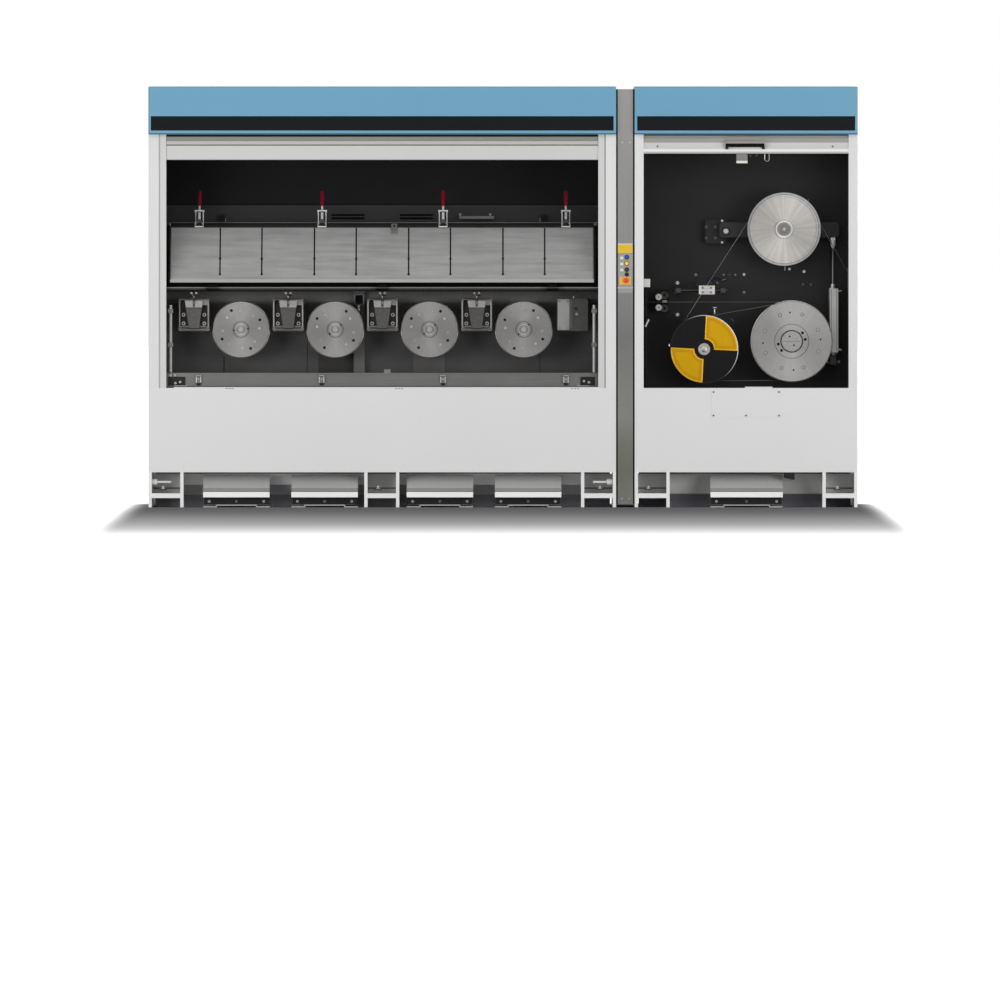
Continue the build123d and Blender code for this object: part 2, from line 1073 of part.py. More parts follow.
def sheave_outline(rim, web, hub, front_y, groove):
    """Give the half outline of a grooved sheave with a dished web, from the axis out."""
    back_y = front_y + sheave_width
    return [
        (0, front_y),
        (hub, front_y),
        (hub, front_y + web_dish),
        (web, front_y + web_dish),
        (web, front_y),
        (rim, front_y),
        (rim, front_y + rim_edge),
        (rim - groove, front_y + 2 * rim_edge),
        (rim - groove, back_y - 2 * rim_edge),
        (rim, back_y - rim_edge),
        (rim, back_y),
        (0, back_y),
    ]


sheave_front = inward(wire_depth) - sheave_width / 2
sheave_back = sheave_front + sheave_width
idler_web = 185.0
idler_hub = 61.0
idler_groove = 14.0
cover_thickness = 18.0
cover_hub_radius = 37.0
cover_hub_reach = 14.0

with BuildPart() as idler_sheave:
    turned(
        idler_x,
        idler_height,
        sheave_outline(idler_rim_radius, idler_web, idler_hub, sheave_front, idler_groove),
    )
    disc(
        idler_x,
        idler_height,
        sheave_back,
        inward(plate_depth) - spindle_end_gap,
        idler_spindle,
    )
save(idler_sheave, "idler_sheave")

with BuildPart() as idler_cover:
    disc(
        idler_x,
        idler_height,
        sheave_front - cover_thickness,
        sheave_front,
        idler_cover_radius,
    )
    disc(
        idler_x,
        idler_height,
        sheave_front - cover_thickness - cover_hub_reach,
        sheave_front - cover_thickness,
        cover_hub_radius,
    )
save(idler_cover, "idler_cover")


# Dancer: a bracket with a pin, an arm that swings on it, and a sheave on the arm
bracket_left = 1252.0
bracket_right = arm_pivot_x
bracket_below = 75.0
bracket_above = 70.0
bracket_depth = 375.0
pivot_boss_radius = 42.0
arm_back = inward(arm_depth + arm_thickness)
pin_head_radius = 24.0
pin_head_thickness = 10.0
side_gap = 0.5

with BuildPart() as dancer_bracket:
    block(
        bracket_left,
        bracket_right,
        inward(bracket_depth),
        inward(plate_depth),
        arm_pivot_height - bracket_below,
        arm_pivot_height + bracket_above,
    )
    disc(
        arm_pivot_x,
        arm_pivot_height,
        arm_back + side_gap,
        inward(plate_depth),
        pivot_boss_radius,
    )
    disc(
        arm_pivot_x,
        arm_pivot_height,
        inward(arm_depth) - side_gap,
        arm_back + side_gap,
        arm_pin_radius,
    )
    disc(
        arm_pivot_x,
        arm_pivot_height,
        inward(arm_depth) - side_gap - pin_head_thickness,
        inward(arm_depth) - side_gap,
        pin_head_radius,
    )
save(dancer_bracket, "dancer_bracket")

axle_recess = 20.0
axle_tip = sheave_front + axle_recess
fork_start = 2005.0
arm_corner = 20.0
fork_head_radius = 14.0
fork_head_thickness = 6.0

with BuildPart() as dancer_arm:
    with BuildSketch(Plane.XZ.offset(-arm_back)):
        with Locations(((arm_left + arm_right) / 2, (arm_bottom + arm_top) / 2)):
            RectangleRounded(arm_right - arm_left, arm_top - arm_bottom, arm_corner)
    extrude(amount=arm_thickness)
    disc(
        arm_pivot_x,
        arm_pivot_height,
        inward(arm_depth),
        arm_back,
        arm_pin_radius + running_gap,
        mode=Mode.SUBTRACT,
    )
    block(
        fork_start,
        arm_right,
        inward(cylinder_depth) - fork_slot / 2,
        inward(cylinder_depth) + fork_slot / 2,
        arm_bottom,
        arm_top,
        mode=Mode.SUBTRACT,
    )
    disc(dancer_x, dancer_height, axle_tip, inward(arm_depth), dancer_axle)
    disc(
        dancer_x,
        dancer_height,
        sheave_back + side_gap,
        inward(arm_depth),
        2 * dancer_axle,
    )
    disc(
        cylinder_x,
        arm_pivot_height,
        inward(arm_depth) - fork_head_thickness,
        inward(arm_depth),
        fork_head_radius,
    )
    disc(
        cylinder_x,
        arm_pivot_height,
        arm_back,
        arm_back + fork_head_thickness,
        fork_head_radius,
    )
save(dancer_arm, "dancer_arm")

dancer_hub = 55.0
dancer_groove = 16.0

with BuildPart() as dancer_sheave:
    turned(
        dancer_x,
        dancer_height,
        sheave_outline(
            dancer_rim_radius,
            dancer_web_radius,
            dancer_hub,
            sheave_front,
            dancer_groove,
        ),
    )
    disc(
        dancer_x,
        dancer_height,
        axle_tip - side_gap,
        sheave_back,
        dancer_axle + running_gap,
        mode=Mode.SUBTRACT,
    )
save(dancer_sheave, "dancer_sheave")

# Air cylinder: its foot is on the mounting plate and its rod ends between the arm's cheeks
gland_radius = 15.0
foot_half = 20.0
foot_below = 50.0
foot_above = 10.0
port_radius = 5.0
port_reach = 22.0
upper_port_drop = 19.0
lower_port_rise = 44.0
port_places = [cylinder_top - upper_port_drop, cylinder_bottom + lower_port_rise]
bore_end_gap = 5.0

with BuildPart() as dancer_cylinder:
    with Locations((cylinder_x, inward(cylinder_depth), (cylinder_bottom + cylinder_top) / 2)):
        Cylinder(cylinder_radius, cylinder_top - cylinder_bottom)
    with Locations((cylinder_x, inward(cylinder_depth), (cylinder_top + gland_top) / 2)):
        Cylinder(gland_radius, gland_top - cylinder_top)
    bore_bottom = rod_low - rod_stroke - bore_end_gap
    with Locations((cylinder_x, inward(cylinder_depth), (bore_bottom + gland_top) / 2)):
        Cylinder(rod_radius + running_gap, gland_top - bore_bottom, mode=Mode.SUBTRACT)
    block(
        cylinder_x - foot_half,
        cylinder_x + foot_half,
        inward(cylinder_depth) - foot_half,
        inward(plate_depth),
        cylinder_bottom - foot_below,
        cylinder_bottom + foot_above,
    )
    for height in port_places:
        cross_bar(
            cylinder_x + cylinder_radius - port_radius,
            cylinder_x + cylinder_radius + port_reach,
            inward(cylinder_depth),
            height,
            port_radius,
        )
save(dancer_cylinder, "dancer_cylinder")

rod_end_radius = 16.0
rod_end_taper = 22.0
tongue_half = 14.0
tongue_top = arm_pivot_height + tongue_half

with BuildPart() as cylinder_rod:
    with Locations((cylinder_x, inward(cylinder_depth), (rod_low + rod_end_bottom) / 2)):
        Cylinder(rod_radius, rod_end_bottom - rod_low)
    with Locations((cylinder_x, inward(cylinder_depth), rod_end_bottom + rod_end_taper / 2)):
        Cone(rod_radius, rod_end_radius, rod_end_taper)
    head_bottom = rod_end_bottom + rod_end_taper
    with Locations((cylinder_x, inward(cylinder_depth), (head_bottom + rod_end_top) / 2)):
        Cylinder(rod_end_radius, rod_end_top - head_bottom)
    block(
        cylinder_x - tongue_half,
        cylinder_x + tongue_half,
        inward(cylinder_depth) - tongue_thickness / 2,
        inward(cylinder_depth) + tongue_thickness / 2,
        rod_end_top,
        tongue_top,
    )
save(cylinder_rod, "cylinder_rod")


# Wire guides of the right bay, carried by arms from the mounting plate
guide_left = 1211.0
guide_right = 1309.0
guide_rise = 49.0
guide_height = 54.0
guide_bottom = wire_height + guide_rise
guide_top = guide_bottom + guide_height
guide_front = 190.0
guide_back = 240.0
guide_slot = 14.0
guide_slot_angle = 62.8
guide_slot_shift = 8.0
guide_slot_length = 4 * guide_slot + guide_height
guide_rod_left = 1061.0
guide_rod_right = 1385.0
guide_rod_rise = 24.0
guide_rod_height = guide_bottom + guide_rod_rise
guide_rod_depth = 262.0
guide_rod_radius = 9.0
guide_arm_places = [1085.0, 1360.0]
guide_arm_half = 14.0
guide_middle = (guide_left + guide_right) / 2

with BuildPart() as wire_guide:
    block(guide_left, guide_right, inward(guide_front), inward(guide_back), guide_bottom, guide_top)
    with Locations(
        Location(
            (guide_middle - guide_slot_shift, inward(wire_depth), (guide_bottom + guide_top) / 2),
            (0, -guide_slot_angle, 0),
        )
    ):
        Box(guide_slot_length, guide_slot, guide_slot, mode=Mode.SUBTRACT)
    block(
        guide_middle - guide_arm_half,
        guide_middle + guide_arm_half,
        inward(guide_back),
        inward(guide_rod_depth),
        guide_rod_height - guide_arm_half,
        guide_rod_height + guide_arm_half,
    )
    cross_bar(
        guide_rod_left,
        guide_rod_right,
        inward(guide_rod_depth),
        guide_rod_height,
        guide_rod_radius,
    )
    for place in guide_arm_places:
        block(
            place - guide_arm_half,
            place + guide_arm_half,
            inward(guide_rod_depth) - guide_arm_half,
            inward(plate_depth),
            guide_rod_height - guide_arm_half,
            guide_rod_height + guide_arm_half,
        )
save(wire_guide, "wire_guide")

roller_x = 962.5
ring_x = 996.0
roller_gap = 65.0
roller_radius = 20.0
roller_half_width = 14.0
roller_plate_left = 935.0
roller_plate_right = 1025.0
roller_plate_below = 75.0
roller_plate_above = 80.0
roller_plate_bottom = wire_height - roller_plate_below
roller_plate_top = wire_height + roller_plate_above
roller_plate_depth = 250.0
roller_plate_thickness = 12.0
ring_radius = 25.0
ring_below = 35.0
ring_above = 42.0

with BuildPart() as entry_rollers:
    block(
        roller_plate_left,
        roller_plate_right,
        inward(roller_plate_depth),
        inward(roller_plate_depth + roller_plate_thickness),
        roller_plate_bottom,
        roller_plate_top,
    )
    block(
        roller_plate_left + roller_plate_thickness,
        roller_plate_right - roller_plate_thickness,
        inward(roller_plate_depth + roller_plate_thickness),
        inward(plate_depth),
        roller_plate_bottom + roller_plate_thickness,
        roller_plate_top - roller_plate_thickness,
    )
    for height in [wire_height - roller_gap / 2, wire_height + roller_gap / 2]:
        disc(
            roller_x,
            height,
            inward(wire_depth - roller_half_width),
            inward(roller_plate_depth),
            roller_radius,
        )
    for height in [wire_height - ring_below, wire_height + ring_above]:
        disc(
            ring_x,
            height,
            inward(roller_plate_depth - roller_plate_thickness),
            inward(roller_plate_depth),
            ring_radius,
        )
save(entry_rollers, "entry_rollers")

switch_right = 908.0
switch_rise = 94.0
switch_height = 50.0
switch_bottom = wire_height + switch_rise
switch_top = switch_bottom + switch_height
switch_front = 60.0
switch_back = 110.0
conduit_radius = 9.0
conduit_inset = 14.0

with BuildPart() as switch_box:
    block(
        right_inner_start,
        switch_right,
        inward(switch_front),
        inward(switch_back),
        switch_bottom,
        switch_top,
    )
    conduit_x = right_inner_start + conduit_inset
    with Locations((conduit_x, inward((switch_front + switch_back) / 2), (apron_top + switch_bottom) / 2)):
        Cylinder(conduit_radius, switch_bottom - apron_top)
save(switch_box, "switch_box")


# Lid of the drawing chamber, shown swung up: local Z runs from the hinge to the free edge
lid_plane = Plane(
    origin=(0, inward(hinge_depth), hinge_height),
    x_dir=(1, 0, 0),
    z_dir=(0, lean_sin, lean_cos),
)
lid_half = lid_thickness / 2

with BuildPart(lid_plane) as lid_pan:
    block(lid_left, lid_right, -lid_half, lid_half, lid_start, lid_length)
    block(
        liner_left,
        liner_right,
        -lid_half,
        -lid_half + liner_recess,
        lid_start + liner_border,
        lid_length - liner_free_border,
        mode=Mode.SUBTRACT,
    )
    for place in hinge_places:
        block(
            place - hinge_barrel_length / 2,
            place + hinge_barrel_length / 2,
            -hinge_barrel_radius / 2,
            hinge_barrel_radius / 2,
            0,
            lid_start,
        )
        cross_bar(
            place - hinge_barrel_length / 2,
            place + hinge_barrel_length / 2,
            0,
            0,
            hinge_barrel_radius,
        )
        cross_bar(
            place - hinge_barrel_length / 2,
            place + hinge_barrel_length / 2,
            0,
            0,
            hinge_pin_radius + running_gap,
            mode=Mode.SUBTRACT,
        )
save(lid_pan, "lid_pan")

liner_slot_offset = 129.0
liner_slot_width = 9.0
liner_slot_start = 40.0
liner_floor = -lid_half + liner_recess
slot_sides = [-liner_slot_offset, liner_slot_offset]

with BuildPart(lid_plane) as lid_liner:
    block(
        liner_left,
        liner_right,
        liner_floor - liner_sheet,
        liner_floor,
        lid_start + liner_border,
        lid_length - liner_free_border,
    )
    for place in [centre + side for centre in capstan_places for side in slot_sides]:
        block(
            place - liner_slot_width / 2,
            place + liner_slot_width / 2,
            liner_floor - liner_sheet,
            liner_floor,
            lid_start + liner_border + liner_slot_start,
            lid_length - liner_free_border,
            mode=Mode.SUBTRACT,
        )
save(lid_liner, "lid_liner")

# Toggle clamps on the lid's outer side: the base is fixed and the lever carries the loop
base_start = 425.0
base_half = 15.0
base_sheet = 6.0
base_ear = 5.0
clamp_pin_radius = 4.0
clamp_ear_radius = 10.0
lever_half = 8.0
neck_radius = 5.0
grip_start = 655.0
grip_end = 770.0
grip_radius = 12.0
bar_reach = 613.0
bar_half = 26.0
bar_radius = 4.0
loop_length = 86.0
loop_radius = 3.0
loop_half = 23.0

with BuildPart(lid_plane) as clamp_bases:
    for place in latch_places:
        block(
            place - base_half,
            place + base_half,
            lid_half,
            lid_half + base_sheet,
            base_start,
            clamp_pivot_reach + clamp_ear_radius,
        )
        for low in [place - base_half, place + base_half - base_ear]:
            block(
                low,
                low + base_ear,
                lid_half,
                clamp_pivot_offset + clamp_ear_radius,
                clamp_pivot_reach - 2 * clamp_ear_radius,
                clamp_pivot_reach + clamp_ear_radius,
            )
        cross_bar(
            place - base_half,
            place + base_half,
            clamp_pivot_offset,
            clamp_pivot_reach,
            clamp_pin_radius,
        )
save(clamp_bases, "clamp_bases")

for number, place in enumerate(latch_places, start=1):
    with BuildPart(lid_plane) as clamp_lever:
        block(
            place - lever_half,
            place + lever_half,
            clamp_pivot_offset - lever_half,
            clamp_pivot_offset + lever_half,
            clamp_pivot_reach,
            bar_reach + lever_half,
        )
        cross_bar(
            place - lever_half,
            place + lever_half,
            clamp_pivot_offset,
            clamp_pivot_reach,
            lever_half,
        )
        cross_bar(
            place - lever_half,
            place + lever_half,
            clamp_pivot_offset,
            clamp_pivot_reach,
            clamp_pin_radius + running_gap,
            mode=Mode.SUBTRACT,
        )
        with Locations((place, clamp_pivot_offset, (bar_reach + grip_end) / 2)):
            Cylinder(neck_radius, grip_end - bar_reach)
        cross_bar(place - bar_half, place + bar_half, clamp_pivot_offset, bar_reach, bar_radius)
        loop_drop = loop_length * lean_cos
        loop_out = loop_length * lean_sin
        for side in [-loop_half, loop_half]:
            with Locations(
                Location(
                    (
                        place + side,
                        clamp_pivot_offset + loop_out / 2,
                        bar_reach - loop_drop / 2,
                    ),
                    (lid_lean, 0, 0),
                )
            ):
                Cylinder(loop_radius, loop_length)
        cross_bar(
            place - loop_half,
            place + loop_half,
            clamp_pivot_offset + loop_out,
            bar_reach - loop_drop,
            loop_radius,
        )
        with Locations((place, clamp_pivot_offset, (grip_start + grip_end) / 2)):
            Cylinder(grip_radius, grip_end - grip_start)
    save(clamp_lever, f"clamp_lever_{number}")


# Foot pedals: each is a bent tread plate hinged at its rear on a floor bracket
def pedal_ends(x, width):
    """Give the low and high X places of a pedal."""
    return x - width / 2, x + width / 2


pedals = [
    (left_centre - pedal_far_offset, pedal_width),
    (left_centre - pedal_near_offset, pedal_width),
    (left_centre + pedal_near_offset, pedal_width),
    (left_centre + pedal_far_offset, pedal_width),
    (right_pedal_x, right_pedal_width),
]
foot_plate = 6.0
foot_length = 85.0
foot_rise = 10.0
foot_front = 10.0
foot_back = 190.0
pedal_ear = 12.0
pedal_ear_inset = 8.0
pedal_ear_half = 10.0


def pedal_bracket(x, width):
    """Make the floor bracket of one pedal: bent foot plate, body, two ears and the pin."""
    low, high = pedal_ends(x, width)
    y0 = inward(foot_front)
    y1 = inward(foot_back)
    block(low, low + foot_length, y0, y1, 0, foot_plate)
    block(high - foot_length, high, y0, y1, 0, foot_plate)
    block(
        low + foot_length - foot_plate,
        high - foot_length + foot_plate,
        y0,
        y1,
        foot_rise,
        foot_rise + foot_plate,
    )
    block(low + foot_length - foot_plate, low + foot_length, y0, y1, 0, foot_rise + foot_plate)
    block(high - foot_length, high - foot_length + foot_plate, y0, y1, 0, foot_rise + foot_plate)
    block(
        low + pedal_ear_inset,
        high - pedal_ear_inset,
        y0 + foot_plate,
        y1,
        foot_rise + foot_plate,
        pedal_body_top,
    )
    for ear in [low + pedal_ear_inset, high - pedal_ear_inset - pedal_ear]:
        block(
            ear,
            ear + pedal_ear,
            inward(pedal_pivot_depth - pedal_ear_half),
            inward(pedal_pivot_depth + pedal_ear_half),
            pedal_body_top,
            pedal_pivot_height + pedal_ear_half,
        )
    cross_bar(
        low + pedal_ear_inset,
        high - pedal_ear_inset,
        inward(pedal_pivot_depth),
        pedal_pivot_height,
        pedal_pin_radius,
    )


with BuildPart() as pedal_brackets:
    for x, width in pedals:
        pedal_bracket(x, width)
save(pedal_brackets, "pedal_brackets")

for number, (x, width) in enumerate(pedals, start=1):
    low, high = pedal_ends(x, width)
    inner_low = low + pedal_ear_inset + pedal_ear + hinge_end_gap
    inner_high = high - pedal_ear_inset - pedal_ear - hinge_end_gap
    with BuildPart() as pedal:
        with BuildSketch(Plane.YZ.offset(low)):
            with BuildLine():
                Polyline(
                    (front - pedal_front, pedal_lip_bottom),
                    (front - pedal_front, pedal_lip_top),
                    (inward(pedal_rear_depth), pedal_rear_top),
                    (inward(pedal_rear_depth), pedal_rear_top - pedal_sheet),
                    (front - pedal_front + pedal_sheet, pedal_lip_top - pedal_sheet),
                    (front - pedal_front + pedal_sheet, pedal_lip_bottom),
                    close=True,
                )
            make_face()
        extrude(amount=width)
        with BuildSketch(Plane.YZ.offset(inner_low)):
            with BuildLine():
                Polyline(
                    (inward(pedal_rear_depth), pedal_rear_top),
                    (inward(pedal_pivot_depth), pedal_pivot_height + pedal_barrel_radius),
                    (inward(pedal_pivot_depth - pedal_barrel_radius), pedal_pivot_height),
                    (inward(pedal_rear_depth - pedal_sheet), pedal_rear_top - 2 * pedal_sheet),
                    close=True,
                )
            make_face()
        extrude(amount=inner_high - inner_low)
        cross_bar(
            inner_low,
            inner_high,
            inward(pedal_pivot_depth),
            pedal_pivot_height,
            pedal_barrel_radius,
        )
        cross_bar(
            inner_low,
            inner_high,
            inward(pedal_pivot_depth),
            pedal_pivot_height,
            pedal_pin_radius + running_gap,
            mode=Mode.SUBTRACT,
        )
    save(pedal, f"pedal_{number}")
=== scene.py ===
import bmesh
import bpy
from math import acos, atan2, cos, degrees, hypot, pi, radians, sin
from mathutils import Matrix, Vector


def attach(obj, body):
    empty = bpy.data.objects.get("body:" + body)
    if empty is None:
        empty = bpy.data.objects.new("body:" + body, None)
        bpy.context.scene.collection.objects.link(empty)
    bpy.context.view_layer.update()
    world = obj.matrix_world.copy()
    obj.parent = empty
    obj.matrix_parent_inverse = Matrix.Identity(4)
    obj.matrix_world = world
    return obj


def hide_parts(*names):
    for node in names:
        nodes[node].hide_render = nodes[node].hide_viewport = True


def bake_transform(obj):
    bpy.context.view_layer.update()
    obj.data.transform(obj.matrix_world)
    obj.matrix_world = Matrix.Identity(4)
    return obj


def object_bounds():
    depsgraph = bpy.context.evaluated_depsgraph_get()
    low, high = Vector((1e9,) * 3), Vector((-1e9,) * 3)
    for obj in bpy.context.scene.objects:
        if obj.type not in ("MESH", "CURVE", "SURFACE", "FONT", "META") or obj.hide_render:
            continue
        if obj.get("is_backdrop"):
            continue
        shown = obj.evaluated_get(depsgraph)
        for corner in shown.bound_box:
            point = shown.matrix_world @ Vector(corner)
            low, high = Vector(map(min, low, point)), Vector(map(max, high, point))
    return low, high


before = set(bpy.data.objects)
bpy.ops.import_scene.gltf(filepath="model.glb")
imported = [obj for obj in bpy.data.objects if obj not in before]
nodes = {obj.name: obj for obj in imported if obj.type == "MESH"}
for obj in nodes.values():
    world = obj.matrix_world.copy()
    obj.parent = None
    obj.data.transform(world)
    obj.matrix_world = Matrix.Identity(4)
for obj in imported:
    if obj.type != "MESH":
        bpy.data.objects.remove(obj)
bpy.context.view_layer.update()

# All sizes are in metres. The photograph shows 6.17 mm per pixel at the front panels
PIXEL = 0.00617
ORIGIN_X = 503.0
ORIGIN_Z = 507.3
FRONT = -0.71
BACK = 0.75
WIRE_Z = 1.265
WIRE_Y = FRONT + 0.215

# Places of repeated and turning parts, as X or as (X, Z)
LEFT_CENTRE = -0.745
PITCH = 0.5825
CAPSTAN_X = [LEFT_CENTRE + step * PITCH for step in (-1.5, -0.5, 0.5, 1.5)]
CAPSTAN_Z = 1.097
HOLDER_X = [x - PITCH / 2 for x in CAPSTAN_X]
LATCH_X = [LEFT_CENTRE + offset for offset in (-1.134, -0.3745, 0.3745, 1.134)]
PEDAL_X = [LEFT_CENTRE + offset for offset in (-0.9, -0.3557, 0.3557, 0.9)] + [1.503]
FINAL = (1.784, 1.024)
IDLER = (1.243, 0.975)
COVER_TURN = -3
DANCER = (1.7375, 1.717)
ARM_PIVOT = (1.379, 1.705)

# Depths of the faces that fittings stand on
CONTROL_Y = FRONT - 0.003
SILL_Y = FRONT + 0.07
FACE_Y = FRONT + 0.17
EXIT_Y = FRONT + 0.185
HOLDER_Y = FRONT + 0.222
PLATE_Y = FRONT + 0.43
DUCT_Y = FRONT + 0.63

# The raised lid leans back from its hinge. Its pieces are given in its own frame: along, out and up the lid
LEAN = radians(35)
HINGE = Vector((0, FRONT + 0.025, 1.35))
LID = Matrix((
    (1, 0, 0, HINGE.x),
    (0, cos(LEAN), sin(LEAN), HINGE.y),
    (0, -sin(LEAN), cos(LEAN), HINGE.z),
    (0, 0, 0, 1),
))

# Edges are smooth below an angle, and take a bevel above one
SMOOTH_BELOW = radians(32)
BEVEL_ABOVE = radians(40)

HEXAGON_TURN = radians(12)
TOWARDS = (0, -1, 0)
UPWARDS = (0, 0, 1)
EVERYWHERE = (-9, 9)


def at_x(pixel):
    """Give the X place of a column of the photograph."""
    return (pixel - ORIGIN_X) * PIXEL


def at_z(pixel):
    """Give the height of a row of the photograph."""
    return (ORIGIN_Z - pixel) * PIXEL


def at(column, y, row):
    """Give the point at a column and a row of the photograph, and a depth."""
    return at_x(column), y, at_z(row)


def cols(first, last):
    """Give the X span between two columns."""
    return at_x(first), at_x(last)


def rows(low, high):
    """Give the Z span between two rows."""
    return at_z(low), at_z(high)


def deep(near, far):
    """Give the Y span between two depths behind the front panels."""
    return FRONT + near, FRONT + far


def about(middle, half):
    """Give the span that reaches as far to both sides of a place."""
    return middle - half, middle + half


def polar(centre, radius, angle):
    """Give the (x, z) point at an angle in degrees on a circle."""
    return centre[0] + radius * cos(radians(angle)), centre[1] + radius * sin(radians(angle))


# Materials
def linear(colour):
    """Turn a screen colour, or one grey level, of 0 to 255 into the light that it stands for."""
    levels = colour if isinstance(colour, tuple) else (colour,) * 3
    return [c / 255 / 12.92 if c < 11 else ((c / 255 + 0.055) / 1.055) ** 2.4 for c in levels]


class Tree:
    """Makes the nodes of one material or world."""

    def __init__(self, owner):
        owner.use_nodes = True
        self.tree = owner.node_tree
        self.tree.nodes.clear()

    def add(self, kind, inputs=None, **settings):
        """Add a node with its settings, and fill inputs that are given by name or number."""
        node = self.tree.nodes.new("ShaderNode" + kind)
        for key, value in settings.items():
            setattr(node, key, value)
        for key, value in (inputs or {}).items():
            if isinstance(value, bpy.types.NodeSocket):
                self.tree.links.new(value, node.inputs[key])
            else:
                node.inputs[key].default_value = value
        return node

    def math(self, operation, *values, **settings):
        return self.add("Math", dict(enumerate(values)), operation=operation, **settings).outputs[0]

    def vector(self, operation, *values):
        node = self.add("VectorMath", dict(enumerate(values)), operation=operation)
        return node.outputs["Value" if operation in ("LENGTH", "DOT_PRODUCT") else "Vector"]

    def scaled(self, vector, factor):
        return self.add("VectorMath", {0: vector, "Scale": factor}, operation="SCALE").outputs[0]

    def parts(self, vector):
        return self.add("SeparateXYZ", {0: vector}).outputs

    def mix(self, factor, first, second):
        """Mix two numbers or two colours."""
        colour = isinstance(first, list) or getattr(first, "type", "VALUE") != "VALUE"
        inputs = {0: factor}
        for index, value in enumerate((first, second), start=6 if colour else 2):
            inputs[index] = (*value, 1) if isinstance(value, list) else value
        node = self.add("Mix", inputs, data_type="RGBA" if colour else "FLOAT")
        return node.outputs[2 if colour else 0]

    def shown(self):
        """Give a mask that is 1 for what the camera sees directly, in a mirror or through glass."""
        path = self.add("LightPath").outputs
        seen = self.math("ADD", path["Is Camera Ray"], path["Is Glossy Ray"], use_clamp=True)
        return self.math("ADD", seen, path["Is Transmission Ray"], use_clamp=True)


class Maker(Tree):
    """Makes the nodes of one material."""

    def __init__(self, name):
        self.material = bpy.data.materials.new(name)
        super().__init__(self.material)
        self.coords = self.add("TexCoord").outputs["Object"]

    def noise(self, scale, detail=4.0, stretch=(1, 1, 1), vector=None):
        """Give fine-grained noise about 0, from -1 to 1, stretched along some axes."""
        place = self.vector("MULTIPLY", vector or self.coords, stretch)
        node = self.add("TexNoise", {"Vector": place, "Scale": scale, "Detail": detail, "Roughness": 0.55})
        return self.math("MULTIPLY_ADD", node.outputs[0], 2.0, -1.0)

    def ramp(self, value, stops):
        """Blend colours along a value, from (value, colour) stops in rising order."""
        low, high = stops[0][0], stops[-1][0]
        node = self.add("ValToRGB", {0: self.math("DIVIDE", self.math("SUBTRACT", value, low), high - low)})
        elements = node.color_ramp.elements
        for place, colour in stops:
            spot = (place - low) / (high - low)
            element = elements[0] if spot == 0 else elements[-1] if spot == 1 else elements.new(spot)
            element.color = (*linear(colour), 1)
        return node.outputs[0]

    def inside(self, box):
        """Give 1 where the surface lies inside a box of (x0, x1, y0, y1, z0, z1)."""
        centre = [(box[i] + box[i + 1]) / 2 for i in (0, 2, 4)]
        half = [(box[i + 1] - box[i]) / 2 for i in (0, 2, 4)]
        gap = self.vector("SUBTRACT", self.vector("ABSOLUTE", self.vector("SUBTRACT", self.coords, centre)), half)
        x, y, z = self.parts(gap)
        return self.math("LESS_THAN", self.math("MAXIMUM", self.math("MAXIMUM", x, y), z), 0.0)

    def polar_parts(self, centre):
        """Give the flat offset from an axis along Y, its length and its direction."""
        flat = self.vector("MULTIPLY", self.vector("SUBTRACT", self.coords, (centre[0], 0, centre[1])), (1, 0, 1))
        return flat, self.vector("LENGTH", flat), self.vector("NORMALIZE", flat)

    def finish(self, paint, level, bump, height, depth, **inputs):
        """Make the shader, and give the material."""
        normal = self.add("Bump", {"Height": height, "Strength": bump, "Distance": depth}).outputs[0]
        inputs = {key.replace("_", " "): value for key, value in inputs.items()}
        shader = self.add("BsdfPrincipled", {"Base Color": self.scaled(paint, level), "Normal": normal, **inputs})
        self.add("OutputMaterial", {0: shader.outputs[0]})
        return self.material


def zone(colour, roughness=0.5, metallic=0.0, x=EVERYWHERE, y=EVERYWHERE, z=EVERYWHERE):
    """Give a part of a surface with a finish of its own: its box, colour, roughness and metallic."""
    return (*x, *y, *z), colour, roughness, metallic


STREAK_SCALE = 7.0
COAT_ROUGHNESS = 0.12
ROUGHNESS_SPREAD = 0.08


